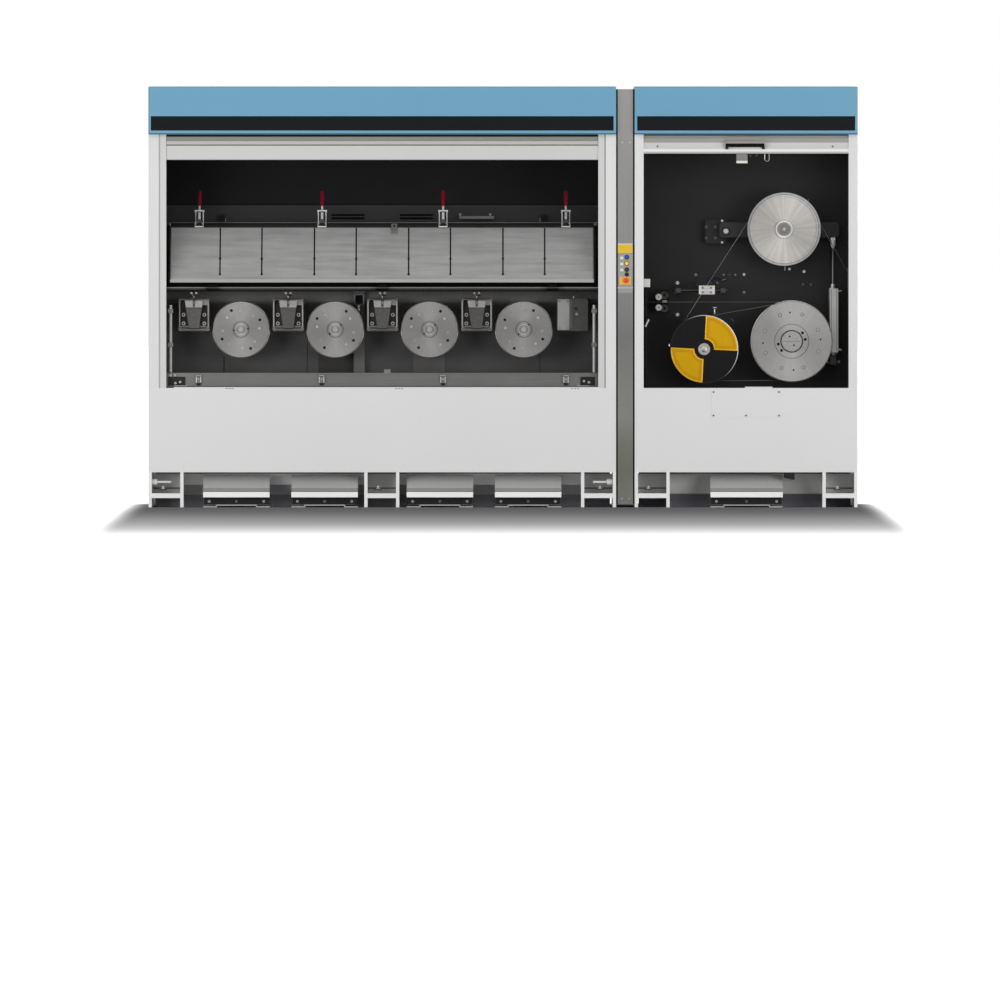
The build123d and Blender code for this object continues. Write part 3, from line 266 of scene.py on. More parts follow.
def surface(
    name, colour, roughness, metallic=0.0, stain=0.05, stain_scale=2.5, grain=(1, 1, 1), grain_scale=60.0,
    grain_tint=0.03, bump=0.05, bump_depth=0.0006, coat=0.0, zones=(), rings=(), centre=None, specular=0.5,
    streaks=0.0, heights=(),
):
    """Make a worn, grained surface.

    Rings are (inner radius, outer radius, colour) about a centre, and heights are (height, colour).
    """
    maker = Maker(name)
    math = maker.math
    place = maker.coords
    inputs = {}
    if centre:
        slant, fan = 0.7, 0.02
        _, radius, aim = maker.polar_parts(centre)
        x, _, z = maker.parts(aim)
        ring = math("MULTIPLY_ADD", maker.parts(maker.coords)[1], slant, radius)
        fans = [math("MULTIPLY", part, fan) for part in (x, z)]
        place = maker.add("CombineXYZ", {0: fans[0], 1: ring, 2: fans[1]}).outputs[0]
        tangent = maker.add("Tangent", direction_type="RADIAL", axis="Y")
        inputs = {"Anisotropic": 0.45, "Tangent": tangent.outputs[0]}
    stains = maker.noise(stain_scale, 6.0)
    grains = maker.noise(grain_scale, 5.0, grain, place)
    level = math("MULTIPLY_ADD", stains, stain, 1.0)
    level = math("MULTIPLY_ADD", grains, grain_tint, level)
    if centre:
        level = math("MULTIPLY_ADD", maker.noise(STREAK_SCALE, 5.0, (1, 0, 1), aim), streaks, level)
    paint = maker.ramp(maker.parts(maker.coords)[2], heights) if heights else linear(colour)
    rough, metal = roughness, metallic
    for box, zone_colour, zone_roughness, zone_metallic in zones:
        mask = maker.inside(box)
        paint = maker.mix(mask, paint, linear(zone_colour))
        rough = maker.mix(mask, rough, zone_roughness)
        if metallic != zone_metallic or metal != metallic:
            metal = maker.mix(mask, metal, zone_metallic)
    for inner, outer, ring_colour in rings:
        past, short = math("GREATER_THAN", radius, inner), math("LESS_THAN", radius, outer)
        paint = maker.mix(math("MULTIPLY", past, short), paint, linear(ring_colour))
    if coat:
        inputs.update({"Coat Weight": coat, "Coat Roughness": COAT_ROUGHNESS})
    rough = math("MULTIPLY_ADD", stains, ROUGHNESS_SPREAD, rough)
    return maker.finish(
        paint, level, bump, grains, bump_depth, Roughness=rough, Metallic=metal, Specular_IOR_Level=specular, **inputs
    )


def painted(name, colour, roughness=0.42, **more):
    """Make a powder coat with a fine orange-peel."""
    settings = dict(stain=0.02, stain_scale=1.2, grain_scale=260.0, grain_tint=0.012, bump=0.12, bump_depth=0.0004)
    return surface(name, colour, roughness, **{**settings, **more})


ALONG_X = (3, 260, 260)
ALONG_Z = (260, 260, 3)
EVEN = (90, 90, 90)


def brushed(name, colour, grain=ALONG_X, roughness=0.42, **more):
    """Make sheet steel with a brushed grain along one axis."""
    settings = dict(stain=0.1, stain_scale=4.0, grain_scale=1.0, grain_tint=0.1, bump=0.1, bump_depth=0.0003)
    return surface(name, colour, roughness, 1.0, grain=grain, **{**settings, **more})


def turned_steel(name, colour, centre, rings, streaks=0.1):
    """Make faced steel with rings about its own axis."""
    settings = dict(stain=0.1, stain_scale=9.0, grain_scale=260.0, grain_tint=0.12, bump=0.12, bump_depth=0.0003)
    return surface(name, colour, 0.42, 1.0, centre=centre, rings=rings, streaks=streaks, **settings)


white = painted("panel_white", 212)
jamb_white = painted("jamb_white", (206, 206, 205))
frame_white = painted("frame_white", (222, 222, 221))
grey_strip = painted("grey_strip", (126, 130, 122), 0.5)
pale_strip = painted("pale_strip", (182, 178, 174), 0.5)
mid_grey = painted("mid_grey", 96, 0.5)
dark_grey = painted("dark_grey", (50, 50, 52), 0.5, specular=0.25)
black = painted("black_parts", (13, 13, 14), 0.45, specular=0.25)
rubber = painted("rubber", (12, 12, 13), 0.75, specular=0.2)
steel = brushed("bright_steel", (174, 173, 171), ALONG_X, 0.36)
dull_steel = brushed("dull_steel", (112, 111, 109), ALONG_X, 0.45)
zinc = brushed("zinc", (158, 158, 155), EVEN, 0.34, grain_tint=0.06)
dim_zinc = brushed("dim_zinc", (104, 104, 102), EVEN, 0.4, grain_tint=0.06)
steel_mid = brushed("steel_mid", (140, 139, 137), EVEN, 0.38, grain_tint=0.06)
dark_steel = brushed("dark_steel", (74, 73, 72), ALONG_X, 0.5)
hub_steel = brushed("hub_steel", (136, 135, 134), grain_tint=0.16)
wire_steel = brushed("wire_steel", (106, 105, 104), EVEN, 0.34, grain_tint=0.05)
yellow = painted("yellow", (214, 176, 34), 0.4)
rim_yellow = painted("rim_yellow", (236, 186, 12), 0.36)
stop_yellow = painted("stop_yellow", (232, 176, 60), 0.4)
red = painted("red_grip", (132, 20, 42), 0.34, coat=0.2, specular=0.3)
clamp_white = painted("clamp_light", (206, 206, 204), 0.4)
blue_button = painted("blue_button", (40, 62, 158), 0.3)
lit_button = painted("lit_button", (246, 206, 52), 0.3)
orange_ring = painted("orange_ring", (120, 62, 20), 0.4)
red_button = painted("red_button", (212, 66, 34), 0.32)
tag_white = painted("tag_white", (206, 206, 210), 0.4)
white_plastic = painted("white_plastic", (214, 214, 210), 0.4)
hose_blue = painted("hose_blue", (34, 42, 74), 0.4)

LEFT_INSIDE = dict(y=(FRONT + 0.03, BACK), z=(0.74, 2.58))
RIGHT_INSIDE = dict(y=(FRONT + 0.012, BACK), z=(0.74, 2.58))
LEFT_DARK, RIGHT_DARK = 22, 26
# A light line along the top edge by the hinge is a painted highlight, a glint.
hinge_glint_zones = [zone((84, 84, 83), y=(-0.7, -0.69), z=(1.352, 1.359))]
sill_zones = [zone((172, 172, 170), 0.5, 0.25, x=x, z=(0.835, 1.26)) for x in ((-2.066, -2.04), (0.55, 0.576))]

cad_materials = {
    "cross_beams": frame_white,
    "roof_plates": white,
    "rear_walls": white,
    "pillar_core": black,
    "push_buttons": black,
    "emergency_stop": red_button,
    "bearing_housings": dark_grey,
    "idler_sheave": dull_steel,
}


def coat(node, make, *finish, label=None, **more):
    """Give a CAD node a material of its own, under its own name unless a label is given."""
    cad_materials[node] = make(label or node, *finish, **more)


# The left rails are painted near white and part metal, as painted light that offsets the shade under the aprons; the
# right ones are painted darker, as painted shade.
coat("base_rails", surface, (232, 232, 230), 0.42, 0.35, stain=0.08, grain_scale=90.0, zones=[
    zone((196, 196, 194), x=(0.7, 3)),
])
coat("deck_plates", painted, (40, 40, 41), 0.5, label="deck", specular=0.25, zones=[
    zone((58, 58, 57), z=(0.7, 0.8)),
])
coat("end_walls", painted, 210, zones=[
    zone(LEFT_DARK, 0.6, x=(-2.1238, -2.0), **LEFT_INSIDE),
    zone(RIGHT_DARK, 0.6, x=(2.0, 2.1328), **RIGHT_INSIDE),
])
coat("inner_walls", painted, 214, zones=[
    zone(LEFT_DARK, 0.6, x=(0.5, 0.5766), **LEFT_INSIDE),
    zone(RIGHT_DARK, 0.6, x=(0.8672, 0.9), **RIGHT_INSIDE),
])
coat("cabin_back_left", painted, 16, 0.6, label="cabin_back", stain=0.15, stain_scale=2.0, specular=0.12)
coat("mounting_plate", painted, 26, 0.55, stain=0.12, stain_scale=3.0, specular=0.18)
coat("fascias", painted, (96, 150, 178), 0.38, stain=0.03, zones=[
    zone((100, 150, 176), 0.35, z=(2.309, 2.3235)),
    # The darker band along the fascia's lower edge is painted shade.
    zone((40, 90, 118), 0.4, z=(2.29, 2.3085)),
    zone((70, 122, 148), 0.4, x=(-2.2, -2.1815)),
    zone((84, 136, 162), 0.4, z=(2.59, 2.61)),
])
coat("fascia_bands", painted, (14, 18, 22), 0.45, specular=0.08)
coat("shutter_guides", painted, (198, 198, 197), label="guides", zones=[zone((70, 70, 72), y=(FRONT + 0.039, 9))])
coat("shutters", painted, (196, 195, 195), zones=[
    # The tops of the shutters are painted darker as the fascia's shade. The whiter band on the right shutter's chamfer
    # is a painted highlight, and greyer bands run along the lower edges.
    zone((126, 130, 122), z=(2.2302, 2.31), x=(-3, 0.7)),
    zone((150, 146, 139), z=(2.25, 2.31), x=(0.7, 3)),
    zone((224, 223, 221), 0.4, z=(2.1945, 2.2125), x=(0.7, 3)),
    zone((176, 175, 173), 0.4, z=(2.18, 2.1945), x=(0.7, 3)),
    zone((178, 177, 175), 0.4, z=(2.14, 2.15), x=(-3, 0.7)),
])
coat("shutter_handle", painted, 8, 0.6, specular=0.06, zones=[
    zone((150, 145, 139), z=(2.2445, 2.27)),
])
coat("aprons", painted, 212)
coat(
    "pillar_cover", brushed, 133, (500, 500, 2), label="pillar_steel", stain=0.12, stain_scale=1.4, grain_tint=0.16,
    heights=[
        (0.00, (124, 126, 120)), (0.22, (108, 110, 101)), (0.4, (112, 114, 107)), (0.54, (126, 127, 122)),
        (0.75, (122, 122, 119)), (1.05, (112, 112, 111)), (1.5, (124, 124, 123)), (2.59, (127, 126, 124)),
    ],
)
coat("control_plate", brushed, (142, 140, 135))
coat("extraction_duct", painted, (28, 28, 29), 0.5, label="duct", stain=0.14, specular=0.22, zones=[
    zone((84, 83, 82), 0.45, 1.0, y=(-0.125, -0.0801), x=(-0.28, -0.05), z=(1.78, 1.81)),
    zone(4, 0.7, y=(-0.0799, -0.06), z=(1.777, 1.813)),
])
# The back is painted lighter towards the top, as painted light that offsets the shade under the chamber's head.
coat(
    "chamber_back", painted, 66, 0.5, stain=0.2, stain_scale=4.0, specular=0.2,
    heights=[(0.74, 66), (0.95, 72), (1.12, 94), (1.34, 104)],
)
coat("chamber_pan", painted, 60, 0.45, stain=0.16, specular=0.3)
coat("chamber_head", painted, 8, 0.6, specular=0.08, zones=hinge_glint_zones)
coat("chamber_ends", painted, (48, 48, 49), 0.5, stain=0.12, specular=0.25)
coat("sill_rail", brushed, (104, 104, 103), ALONG_X, 0.45, grain_tint=0.2, zones=sill_zones)
coat("coolant_post", painted, (96, 96, 95), 0.5, stain=0.14, specular=0.2, zones=[
    zone(8, 0.6, y=(FRONT + 0.385, 0), z=(1.254, 1.31)),
])
coat("die_holders", brushed, (112, 112, 111), stain=0.18, stain_scale=9.0, zones=[
    # The holder's recess is painted dark, darkest at its floor: painted shade.
    zone(20, 0.6, 0.4, y=deep(0.2215, 0.2225), z=(1.1, 1.277)),
    zone((60, 60, 59), 0.5, 1.0, y=deep(0.2005, 0.2215), z=(1.1, 1.277)),
])
coat(
    "die_clamps", surface, (78, 77, 76), 0.45, 1.0, stain=0.35, stain_scale=45.0, grain_scale=90.0,
    zones=[
        zone((138, 137, 135), 0.4, 1.0, z=(1.23, 1.2765)),
        zone((84, 83, 82), 0.4, 1.0, z=(1.2765, 1.292)),
        zone(48, 0.45, 1.0, z=(1.292, 1.4)),
    ],
)
coat("exit_box", brushed, (66, 66, 65), ALONG_Z, 0.45, stain=0.22, stain_scale=12.0)
coat("dancer_bracket", painted, (20, 20, 21), 0.5, specular=0.2)
coat("dancer_arm", painted, (28, 28, 29), 0.5, specular=0.25, zones=[
    zone((150, 148, 146), 0.4, 1.0, y=(-0.52, -0.3851), x=(1.69, 1.79)),
])
coat("dancer_cylinder", surface, (150, 149, 148), 0.42, 0.35, label="cylinder", grain_scale=80.0, zones=[
    zone((150, 149, 147), 0.35, 0.6, z=(1.3531, 1.4)),
    zone(44, z=(0.87, 0.9402)),
])
coat("cylinder_rod", surface, (92, 91, 90), 0.4, 1.0, label="rod", grain_scale=80.0, bump=0.02, zones=[
    # The rod end is painted lighter, as painted light that offsets the shade of the arm.
    zone((224, 223, 221), 0.4, 0.2, z=(1.5999, 1.73)),
])
coat("wire_guide", surface, (176, 175, 172), 0.4, 1.0, grain_scale=80.0, zones=[
    zone((62, 61, 60), 0.45, 1.0, y=deep(0.241, 0.44)),
])
coat("entry_rollers", surface, (132, 131, 128), 0.38, 1.0, grain_scale=80.0, specular=0.08, zones=[
    zone(15, y=deep(0.235, 0.44)),
])
coat("switch_box", painted, (222, 222, 218), 0.4, specular=0.12, zones=[zone(12, 0.6, z=(0.7, 1.3588))])
coat("lid_pan", painted, (10, 10, 11), 0.6, specular=0.06, zones=hinge_glint_zones)
coat(
    "lid_liner", surface, (160, 160, 159), 0.55, 0.6,
    stain=0.14, stain_scale=7.0, grain=(2.5, 26, 26), grain_scale=1.2, grain_tint=0.34,
)
coat("clamp_bases", brushed, (150, 149, 147), ALONG_X, 0.4, zones=[
    zone(40, 0.5, 0.4, z=(1.6, 1.756)),
])
coat("pedal_brackets", painted, 12, 0.5, specular=0.25, zones=[
    zone((170, 170, 168), z=(-0.01, 0.0165)),
])
coat("final_capstan", turned_steel, (134, 133, 132), FINAL, [
    (0.064, 0.07, 24), (0.104, 0.107, 66), (0.248, 0.251, (164, 163, 162)),
])
coat("dancer_sheave", turned_steel, (154, 151, 148), DANCER, [
    (0.211, 0.2145, (96, 95, 94)), (0.2145, 0.227, (132, 132, 133)), (0.042, 0.044, 60),
    (0.044, 0.054, (180, 178, 176)), (0.054, 0.056, (90, 89, 88)),
], streaks=0.3)
CAPSTAN_RINGS = [(0.03, 0.033, (156, 155, 153)), (0.0455, 0.0525, (96, 96, 95)), (0.1725, 0.176, (148, 147, 145))]
for index, place in enumerate(CAPSTAN_X, start=1):
    coat(f"capstan_{index}", turned_steel, (124, 123, 122), (place, CAPSTAN_Z), CAPSTAN_RINGS)
    cad_materials[f"clamp_lever_{index}"] = steel
pedal_paint = painted("pedal", (180, 180, 179), 0.5, stain=0.08, zones=[
    # The front lip is painted brighter than the tread, as a painted highlight where light catches its edge.
    zone(232, 0.45, y=deep(-0.0301, -0.024), z=(0.05, 0.0985)),
    zone(112, z=(0.1135, 0.1165)),
    zone((150, 150, 149), z=(0.0985, 0.1135)),
])
for index in range(1, 6):
    cad_materials[f"pedal_{index}"] = pedal_paint


def cover_material():
    """Make the idler's cover: two yellow quarters on black and a cap, with painted light: brighter and darker orange
    bands on each quarter stand for a raised lip, and a highlight is painted on the edge.
    """
    cap_radius, hub, rim = 0.0372, 0.061, 0.2065
    highlight_width, shade_width = 0.009, 0.026
    highlight_from = radians(34)
    maker = Maker("idler_cover")
    math = maker.math
    flat, radius, aim = maker.polar_parts(IDLER)
    tilt = radians(COVER_TURN)
    across = maker.vector("DOT_PRODUCT", flat, (cos(tilt), 0, sin(tilt)))
    above = maker.vector("DOT_PRODUCT", flat, (-sin(tilt), 0, cos(tilt)))
    same_side = math("GREATER_THAN", math("MULTIPLY", across, above), 0.0)
    outside_hub = math("GREATER_THAN", radius, hub)
    inside_rim = math("LESS_THAN", radius, rim)
    mask = math("MULTIPLY", same_side, math("MULTIPLY", outside_hub, inside_rim))
    sides = math("MINIMUM", math("ABSOLUTE", across), math("ABSOLUTE", above))
    ends = math("MINIMUM", math("SUBTRACT", radius, hub), math("SUBTRACT", rim, radius))
    inset = math("MINIMUM", sides, ends)
    # The brighter band along each quarter's borders is a painted highlight, and the darker orange band inside it is
    # painted shade. Together they give a raised look.
    lip = math("LESS_THAN", inset, highlight_width)
    shade_band = math("MULTIPLY", math("LESS_THAN", inset, shade_width), math("SUBTRACT", 1.0, lip))
    pan = maker.mix(shade_band, linear((200, 154, 4)), linear((190, 138, 3)))
    pan = maker.mix(lip, pan, linear((214, 164, 14)))
    paint = maker.mix(mask, linear(11), pan)
    # A painted highlight on the edge beyond the rim, brightest towards one direction.
    facing = maker.vector("DOT_PRODUCT", aim, (cos(highlight_from), 0, sin(highlight_from)))
    edge_highlight = math("MULTIPLY", math("GREATER_THAN", radius, rim), math("MAXIMUM", facing, 0.02))
    paint = maker.mix(edge_highlight, paint, linear((226, 229, 236)))
    cap = math("LESS_THAN", radius, cap_radius)
    paint = maker.mix(cap, paint, linear((166, 165, 162)))
    stains = maker.noise(14.0, 6.0)
    level, rough = (math("MULTIPLY_ADD", stains, 0.1, base) for base in (1.0, 0.42))
    return maker.finish(
        paint, level, 0.12, maker.noise(220.0), 0.0004, Roughness=rough, Metallic=cap, Specular_IOR_Level=0.12
    )


cad_materials["idler_cover"] = cover_material()
for name, node in nodes.items():
    for slot in node.material_slots:
        slot.material = cad_materials[name]


# Pieces
class Piece:
    """Collects solids as one mesh that rides on one body."""

    def __init__(self, name, slot, body="root", place=None):
        self.name = name
        self.slot = slot
        self.body = body
        self.place = place or Matrix.Identity(4)
        self.mesh = bmesh.new()
        self.materials = []

    def paint(self, faces, material):
        if material not in self.materials:
            self.materials.append(material)
        for face in faces:
            face.material_index = self.materials.index(material)

    def box(self, x, y, z, material):
        """Add a box from its spans along X, Y and Z."""
        made = bmesh.ops.create_cube(self.mesh, size=1.0)["verts"]
        for vert in made:
            vert.co = [span[0 if side < 0 else 1] for span, side in zip((x, y, z), vert.co)]
        self.paint({face for vert in made for face in vert.link_faces}, material)

    def boxes(self, *boxes):
        """Add boxes from columns, depths behind the front panels, rows and a material."""
        for columns, depths, heights, material in boxes:
            self.box(cols(*columns), deep(*depths), rows(*heights), material)

    def plates(self, y, *plates):
        """Add plates that stand out from a face, from an X span, a thickness, a Z span and a material."""
        for x, thick, z, material in plates:
            self.box(x, (y - thick, y), z, material)

    def bridge(self, rings, material, ends=()):
        """Join rings of points by faces, add end faces, and paint them all."""
        faces = []
        steps = max(len(ring) for ring in rings)
        for low, high in zip(rings, rings[1:]):
            for step in range(steps):
                after = (step + 1) % steps
                corners = [low[step % len(low)], low[after % len(low)], high[after % len(high)], high[step % len(high)]]
                corners = list(dict.fromkeys(corners))
                if len(corners) > 2:
                    faces.append(self.mesh.faces.new(corners))
        faces += [self.mesh.faces.new(end) for end in ends]
        self.paint(faces, material)

    def lathe(self, base, outline, material, steps=28, turn=0.0, aim=TOWARDS):
        """Revolve an outline of (distance along, radius) about an axis."""
        aim = Vector(aim).normalized()
        turned = Vector(UPWARDS).rotation_difference(aim).to_matrix()
        base = Vector(base)
        rings = []
        for along, radius in outline:
            if radius:
                angles = [turn + 2 * pi * step / steps for step in range(steps)]
                spots = [turned @ Vector((radius * cos(a), radius * sin(a), along)) for a in angles]
            else:
                spots = [aim * along]
            rings.append([self.mesh.verts.new(base + spot) for spot in spots])
        self.bridge(rings, material)

    def turned(self, base, outline, material, steps=28, turn=0.0, aim=TOWARDS):
        """Revolve an outline, and close both of its ends with flat faces."""
        self.lathe(base, [(0, 0), *outline, (outline[-1][0], 0)], material, steps, turn, aim)

    def rod(self, first, last, radius, material, steps=20):
        """Add a round bar between two points."""
        aim = Vector(last) - Vector(first)
        edge = radius * 0.12
        outline = [(0, radius - edge), (edge, radius), (aim.length - edge, radius), (aim.length, radius - edge)]
        self.turned(first, outline, material, steps, aim=aim)

    def bar(self, first, reach, radius, material, steps=20):
        """Add a round bar from a point, as far as (x, y, z) from it."""
        self.rod(first, Vector(first) + Vector(reach), radius, material, steps)

    def prism(self, outline, y, material):
        """Extrude an outline of (x, z) points along Y."""
        near, far = ([self.mesh.verts.new((x, depth, z)) for x, z in outline] for depth in y)
        self.bridge([near, far], material, (near, far[::-1]))

    def tube(self, points, radius, material, steps=10, closed=False):
        """Sweep a circle along a line of points."""
        points = [Vector(point) for point in points]
        count = len(points)
        rings = []
        side = None
        for index, point in enumerate(points):
            before = points[index - 1] if index or closed else point
            after = points[(index + 1) % count] if index < count - 1 or closed else point
            aim = (after - before).normalized()
            side = side or aim.orthogonal().normalized()
            side = (side - aim * side.dot(aim)).normalized()
            other = aim.cross(side)
            angles = [2 * pi * step / steps for step in range(steps)]
            rings.append([self.mesh.verts.new(point + (side * cos(a) + other * sin(a)) * radius) for a in angles])
        if closed:
            self.bridge([*rings, rings[0]], material)
        else:
            self.bridge(rings, material, (rings[0][::-1], rings[-1]))

    def ring(self, centre, radius, y, thick, material, count):
        """Add a round wire ring about an axis along Y."""
        spots = [polar(centre, radius, 360 * step / count) for step in range(count)]
        self.tube([(x, y, z) for x, z in spots], thick, material, 6, True)

    def hex_bolt(self, base, size, material=None):
        """Add a hexagon head on a washer, facing the front; size is the head's radius."""
        material = material or zinc
        washer, wide, tall = size * 0.22, size * 1.45, size * 0.75
        self.turned(base, [(0, wide), (washer, wide)], material, 24)
        head = [(0, size), (tall * 0.85, size), (tall, size * 0.86)]
        self.turned(Vector(base) + Vector(TOWARDS) * washer, head, material, 6, HEXAGON_TURN)

    def cap_screw(self, base, size, material=None, aim=TOWARDS):
        """Add a socket head; size is the head's radius."""
        tall = size * 0.9
        socket = tall * 0.45
        head = [(0, size), (tall * 0.9, size), (tall, size * 0.9), (tall, size * 0.52), (socket, size * 0.5)]
        self.turned(base, head, material or zinc, 18, aim=aim)

    def build(self, sharp):
        """Make the mesh an object, with edges sharp from an angle on."""
        bmesh.ops.transform(self.mesh, matrix=self.place, verts=self.mesh.verts)
        bmesh.ops.recalc_face_normals(self.mesh, faces=self.mesh.faces)
        for edge in self.mesh.edges:
            edge.smooth = len(edge.link_faces) == 2 and edge.calc_face_angle(pi) < sharp
        for face in self.mesh.faces:
            face.smooth = True
        data = bpy.data.meshes.new(self.name)
        self.mesh.to_mesh(data)
        self.mesh.free()
        for material in self.materials:
            data.materials.append(material)
        piece = bpy.data.objects.new(self.name, data)
        bpy.context.scene.collection.objects.link(piece)
        return piece

    def done(self, bevel=0.0, replaces=()):
        """Make the mesh an object that rides on its body."""
        piece = self.build(SMOOTH_BELOW)
        if bevel:
            modifier = piece.modifiers.new("edges", "BEVEL")
            modifier.width = bevel
            modifier.segments = 2
            modifier.limit_method = "ANGLE"
            modifier.angle_limit = BEVEL_ABOVE
            modifier.harden_normals = True
        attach(piece, self.body)
        if replaces:
            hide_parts(*replaces)
        return piece


# Shutters: strips of painted shade under the fascia, a groove line, and the right shutter's small parts
SHUTTER_X = (-2.076, 0.586)
shade_and_groove_strips = Piece("shutter_shade_and_groove_strips", "cabinet_white")
# The black, grey and pale strips are painted shade under the fascia, darkest at the top. The narrow grey strip at the
# foot is a groove line.
for x, depths, z, material in (
    (SHUTTER_X, (0.004, 0.014), (2.287, 2.2995), rubber),
    (SHUTTER_X, (0.006, 0.016), (2.261, 2.287), grey_strip),
    (SHUTTER_X, (0.005, 0.014), (2.2385, 2.26), pale_strip),
    (SHUTTER_X, (0.0065, 0.01), (2.23, 2.235), grey_strip),
    ((0.87, 2.13), (0.004, 0.014), (2.2935, 2.2995), rubber),
):
    shade_and_groove_strips.box(x, deep(*depths), z, material)
shade_and_groove_strips.done(0.0008)

latch = Piece("shutter_latch", "black_plastic")
handle_plate = painted("handle_plate", (150, 145, 139), 0.5)
latch.boxes(
    ((727, 763.4), (0.0045, 0.0085), (143.0, 137), handle_plate),
    ((727, 763.4), (0.0045, 0.0085), (152.0, 147), jamb_white),
    ((725.4, 728.4), (-0.012, 0.009), (149.2, 146.6), black),
    ((761.8, 764.8), (-0.012, 0.009), (149.2, 146.6), black),
    ((736.4, 747.5), (0.003, 0.009), (160.8, 154), dull_steel),
    ((736.4, 747.5), (0.000, 0.009), (163.2, 160.8), white_plastic),
)
for px in (750.4, 756.7):
    latch.cap_screw(at(px, FRONT + 0.012, 155.5), 0.006, dark_steel)
for px in (657.5, 832.7):
    latch.cap_screw(at(px, FRONT + 0.0085, 146.4), 0.006, dim_zinc)
hook = [(764.8, 154.0), (764.8, 159.6), (766.0, 161.2), (767.9, 161.2), (769.1, 159.6), (769.1, 154.0)]
latch.tube([at(px, FRONT + 0.006, py) for px, py in hook], 0.0026, zinc)
latch.done(0.0006)

# Thin strips that close the joints beside the shutter guides
joints = Piece("panel_joints", "cabinet_white")
joint_paint = painted("joint_paint", 168)
for px in (159.4, 604.6):
    joints.box(about(at_x(px), 0.0052), deep(0.004, 0.03), (0.737, 2.299), joint_paint)
joints.done(0.0004)

# Aprons: top lip, access plate with its screws, and a bracket beside the fifth pedal
apron = Piece("apron_fittings", "cabinet_white")
apron.box(cols(745, 772.5), deep(-0.002, 0.03), (0.7361, 0.744), jamb_white)
apron.box((at_x(174), 0.592), deep(0.002, 0.025), (0.7361, 0.742), jamb_white)
for px in (226.5, 229.5, 232.5, 396, 399, 402, 572, 575, 578):
    apron.box(cols(px - 1, px + 1), deep(-0.0006, 0.004), (0.73, 0.7345), mid_grey)
apron.boxes(((711.5, 781.2), (-0.002, 0.001), (417.6, 390), white))
for px, py in ((713.5, 392), (779, 392), (713.5, 415.5), (746, 415.5), (779, 415.5)):
    apron.cap_screw(at(px, FRONT - 0.002, py), 0.0055, dim_zinc)
bracket = ((783.6, 477.8), (783.6, 472.2), (794.7, 472.2), (794.7, 479.8), (791.0, 479.6))
apron.prism([(at_x(px), at_z(py)) for px, py in bracket], deep(0.012, 0.03), black)
apron.done(0.0005)

# Pillar: screws, blank plates and the controls on the control plate
pillar = Piece("pillar_fittings", "chrome")
for px, py in ((622.4, 142.5), (629.8, 142.5), (621.8, 499), (629, 499)):
    pillar.cap_screw(at(px, FRONT, py), 0.008)
pillar.done(0.0004)

labels = Piece("control_labels", "white_plastic")
labels.plates(
    CONTROL_Y,
    (cols(617.8, 632.5), 0.0016, rows(253, 244), yellow),
    (cols(617.8, 632.5), 0.0018, rows(244.4, 243.5), tag_white),
    (cols(617.4, 633.0), 0.0004, rows(288.3, 287.4), steel),
    *((cols(620.2, 623.4), 0.0014, rows(py + 1.3, py - 1.3), tag_white) for py in (258, 264, 270)),
)
labels.done(0.0004)

BEZEL = [(0, 0), (0, 0.0145), (0.003, 0.0145), (0.005, 0.013), (0.005, 0.0112)]
CAP = [(0.004, 0), (0.004, 0.011), (0.0105, 0.011), (0.012, 0.0096), (0.0115, 0)]
KNOB = [(0, 0), (0, 0.0138), (0.003, 0.0138), (0.005, 0.012), (0.006, 0)]
BUTTON_X = 0.764
buttons = Piece("button_heads", "buttons")
for height, outline, material in (
    (1.543, BEZEL, black), (1.543, CAP, blue_button), (1.505, BEZEL, orange_ring), (1.505, CAP, lit_button),
    (1.467, BEZEL, black), (1.467, CAP, dark_grey), (1.437, KNOB, dark_grey),
):
    buttons.lathe((BUTTON_X, CONTROL_Y, height), outline, material, 32)
buttons.box((0.7605, 0.7675), (CONTROL_Y - 0.012, CONTROL_Y - 0.005), (1.426, 1.448), black)
buttons.done(0.0005, ["push_buttons"])

MUSHROOM = [
    (0.006, 0), (0.006, 0.013), (0.014, 0.011), (0.019, 0.011), (0.019, 0.0158),
    (0.024, 0.0162), (0.0285, 0.014), (0.03, 0.008), (0.0302, 0),
]
stop = Piece("stop_button", "stop_red")
stop.plates(CONTROL_Y, ((0.719, 0.79), 0.006, (1.374, 1.422), stop_yellow))
stop.lathe((0.759, CONTROL_Y, 1.4), MUSHROOM, red_button, 36)
stop.done(0.0008, ["emergency_stop"])

# Duct: a seam along its lower edge, the vents' strips, bolts at the handle and the buffers' rims
DUCT_X = (-2.1, 0.61)
duct = Piece("duct_details", "inner_dark")
vent_paint = painted("vent_black", 3, 0.7, specular=0.05)
duct.plates(
    DUCT_Y,
    (DUCT_X, 0.003, (1.756, 1.761), mid_grey),
    (DUCT_X, 0.002, (1.748, 1.756), rubber),
    (DUCT_X, 0.004, (1.86, 1.865), dark_grey),
)
for vent in (cols(330.4, 363.6), cols(399.2, 431.4)):
    for py in (213.7, 216.8):
        duct.plates(DUCT_Y, (vent, 0.0012, rows(py + 1.9, py), vent_paint))
for px in (460, 490.1):
    duct.hex_bolt(at(px, DUCT_Y - 0.04, 214.1), 0.0055, dim_zinc)
for side in (-1, 1):
    centre = LEFT_CENTRE + side * 0.996
    duct.turned((centre, DUCT_Y - 0.03, 1.79), [(0, 0.018), (0.004, 0.016), (0.006, 0.008)], rubber)
    duct.turned((centre, DUCT_Y, 1.79), [(0, 0.027), (0.004, 0.025)], black)
    duct.plates(DUCT_Y, (about(centre - side * 0.021, 0.0025), 0.012, (1.764, 1.79), dull_steel))
duct.done(0.0005)

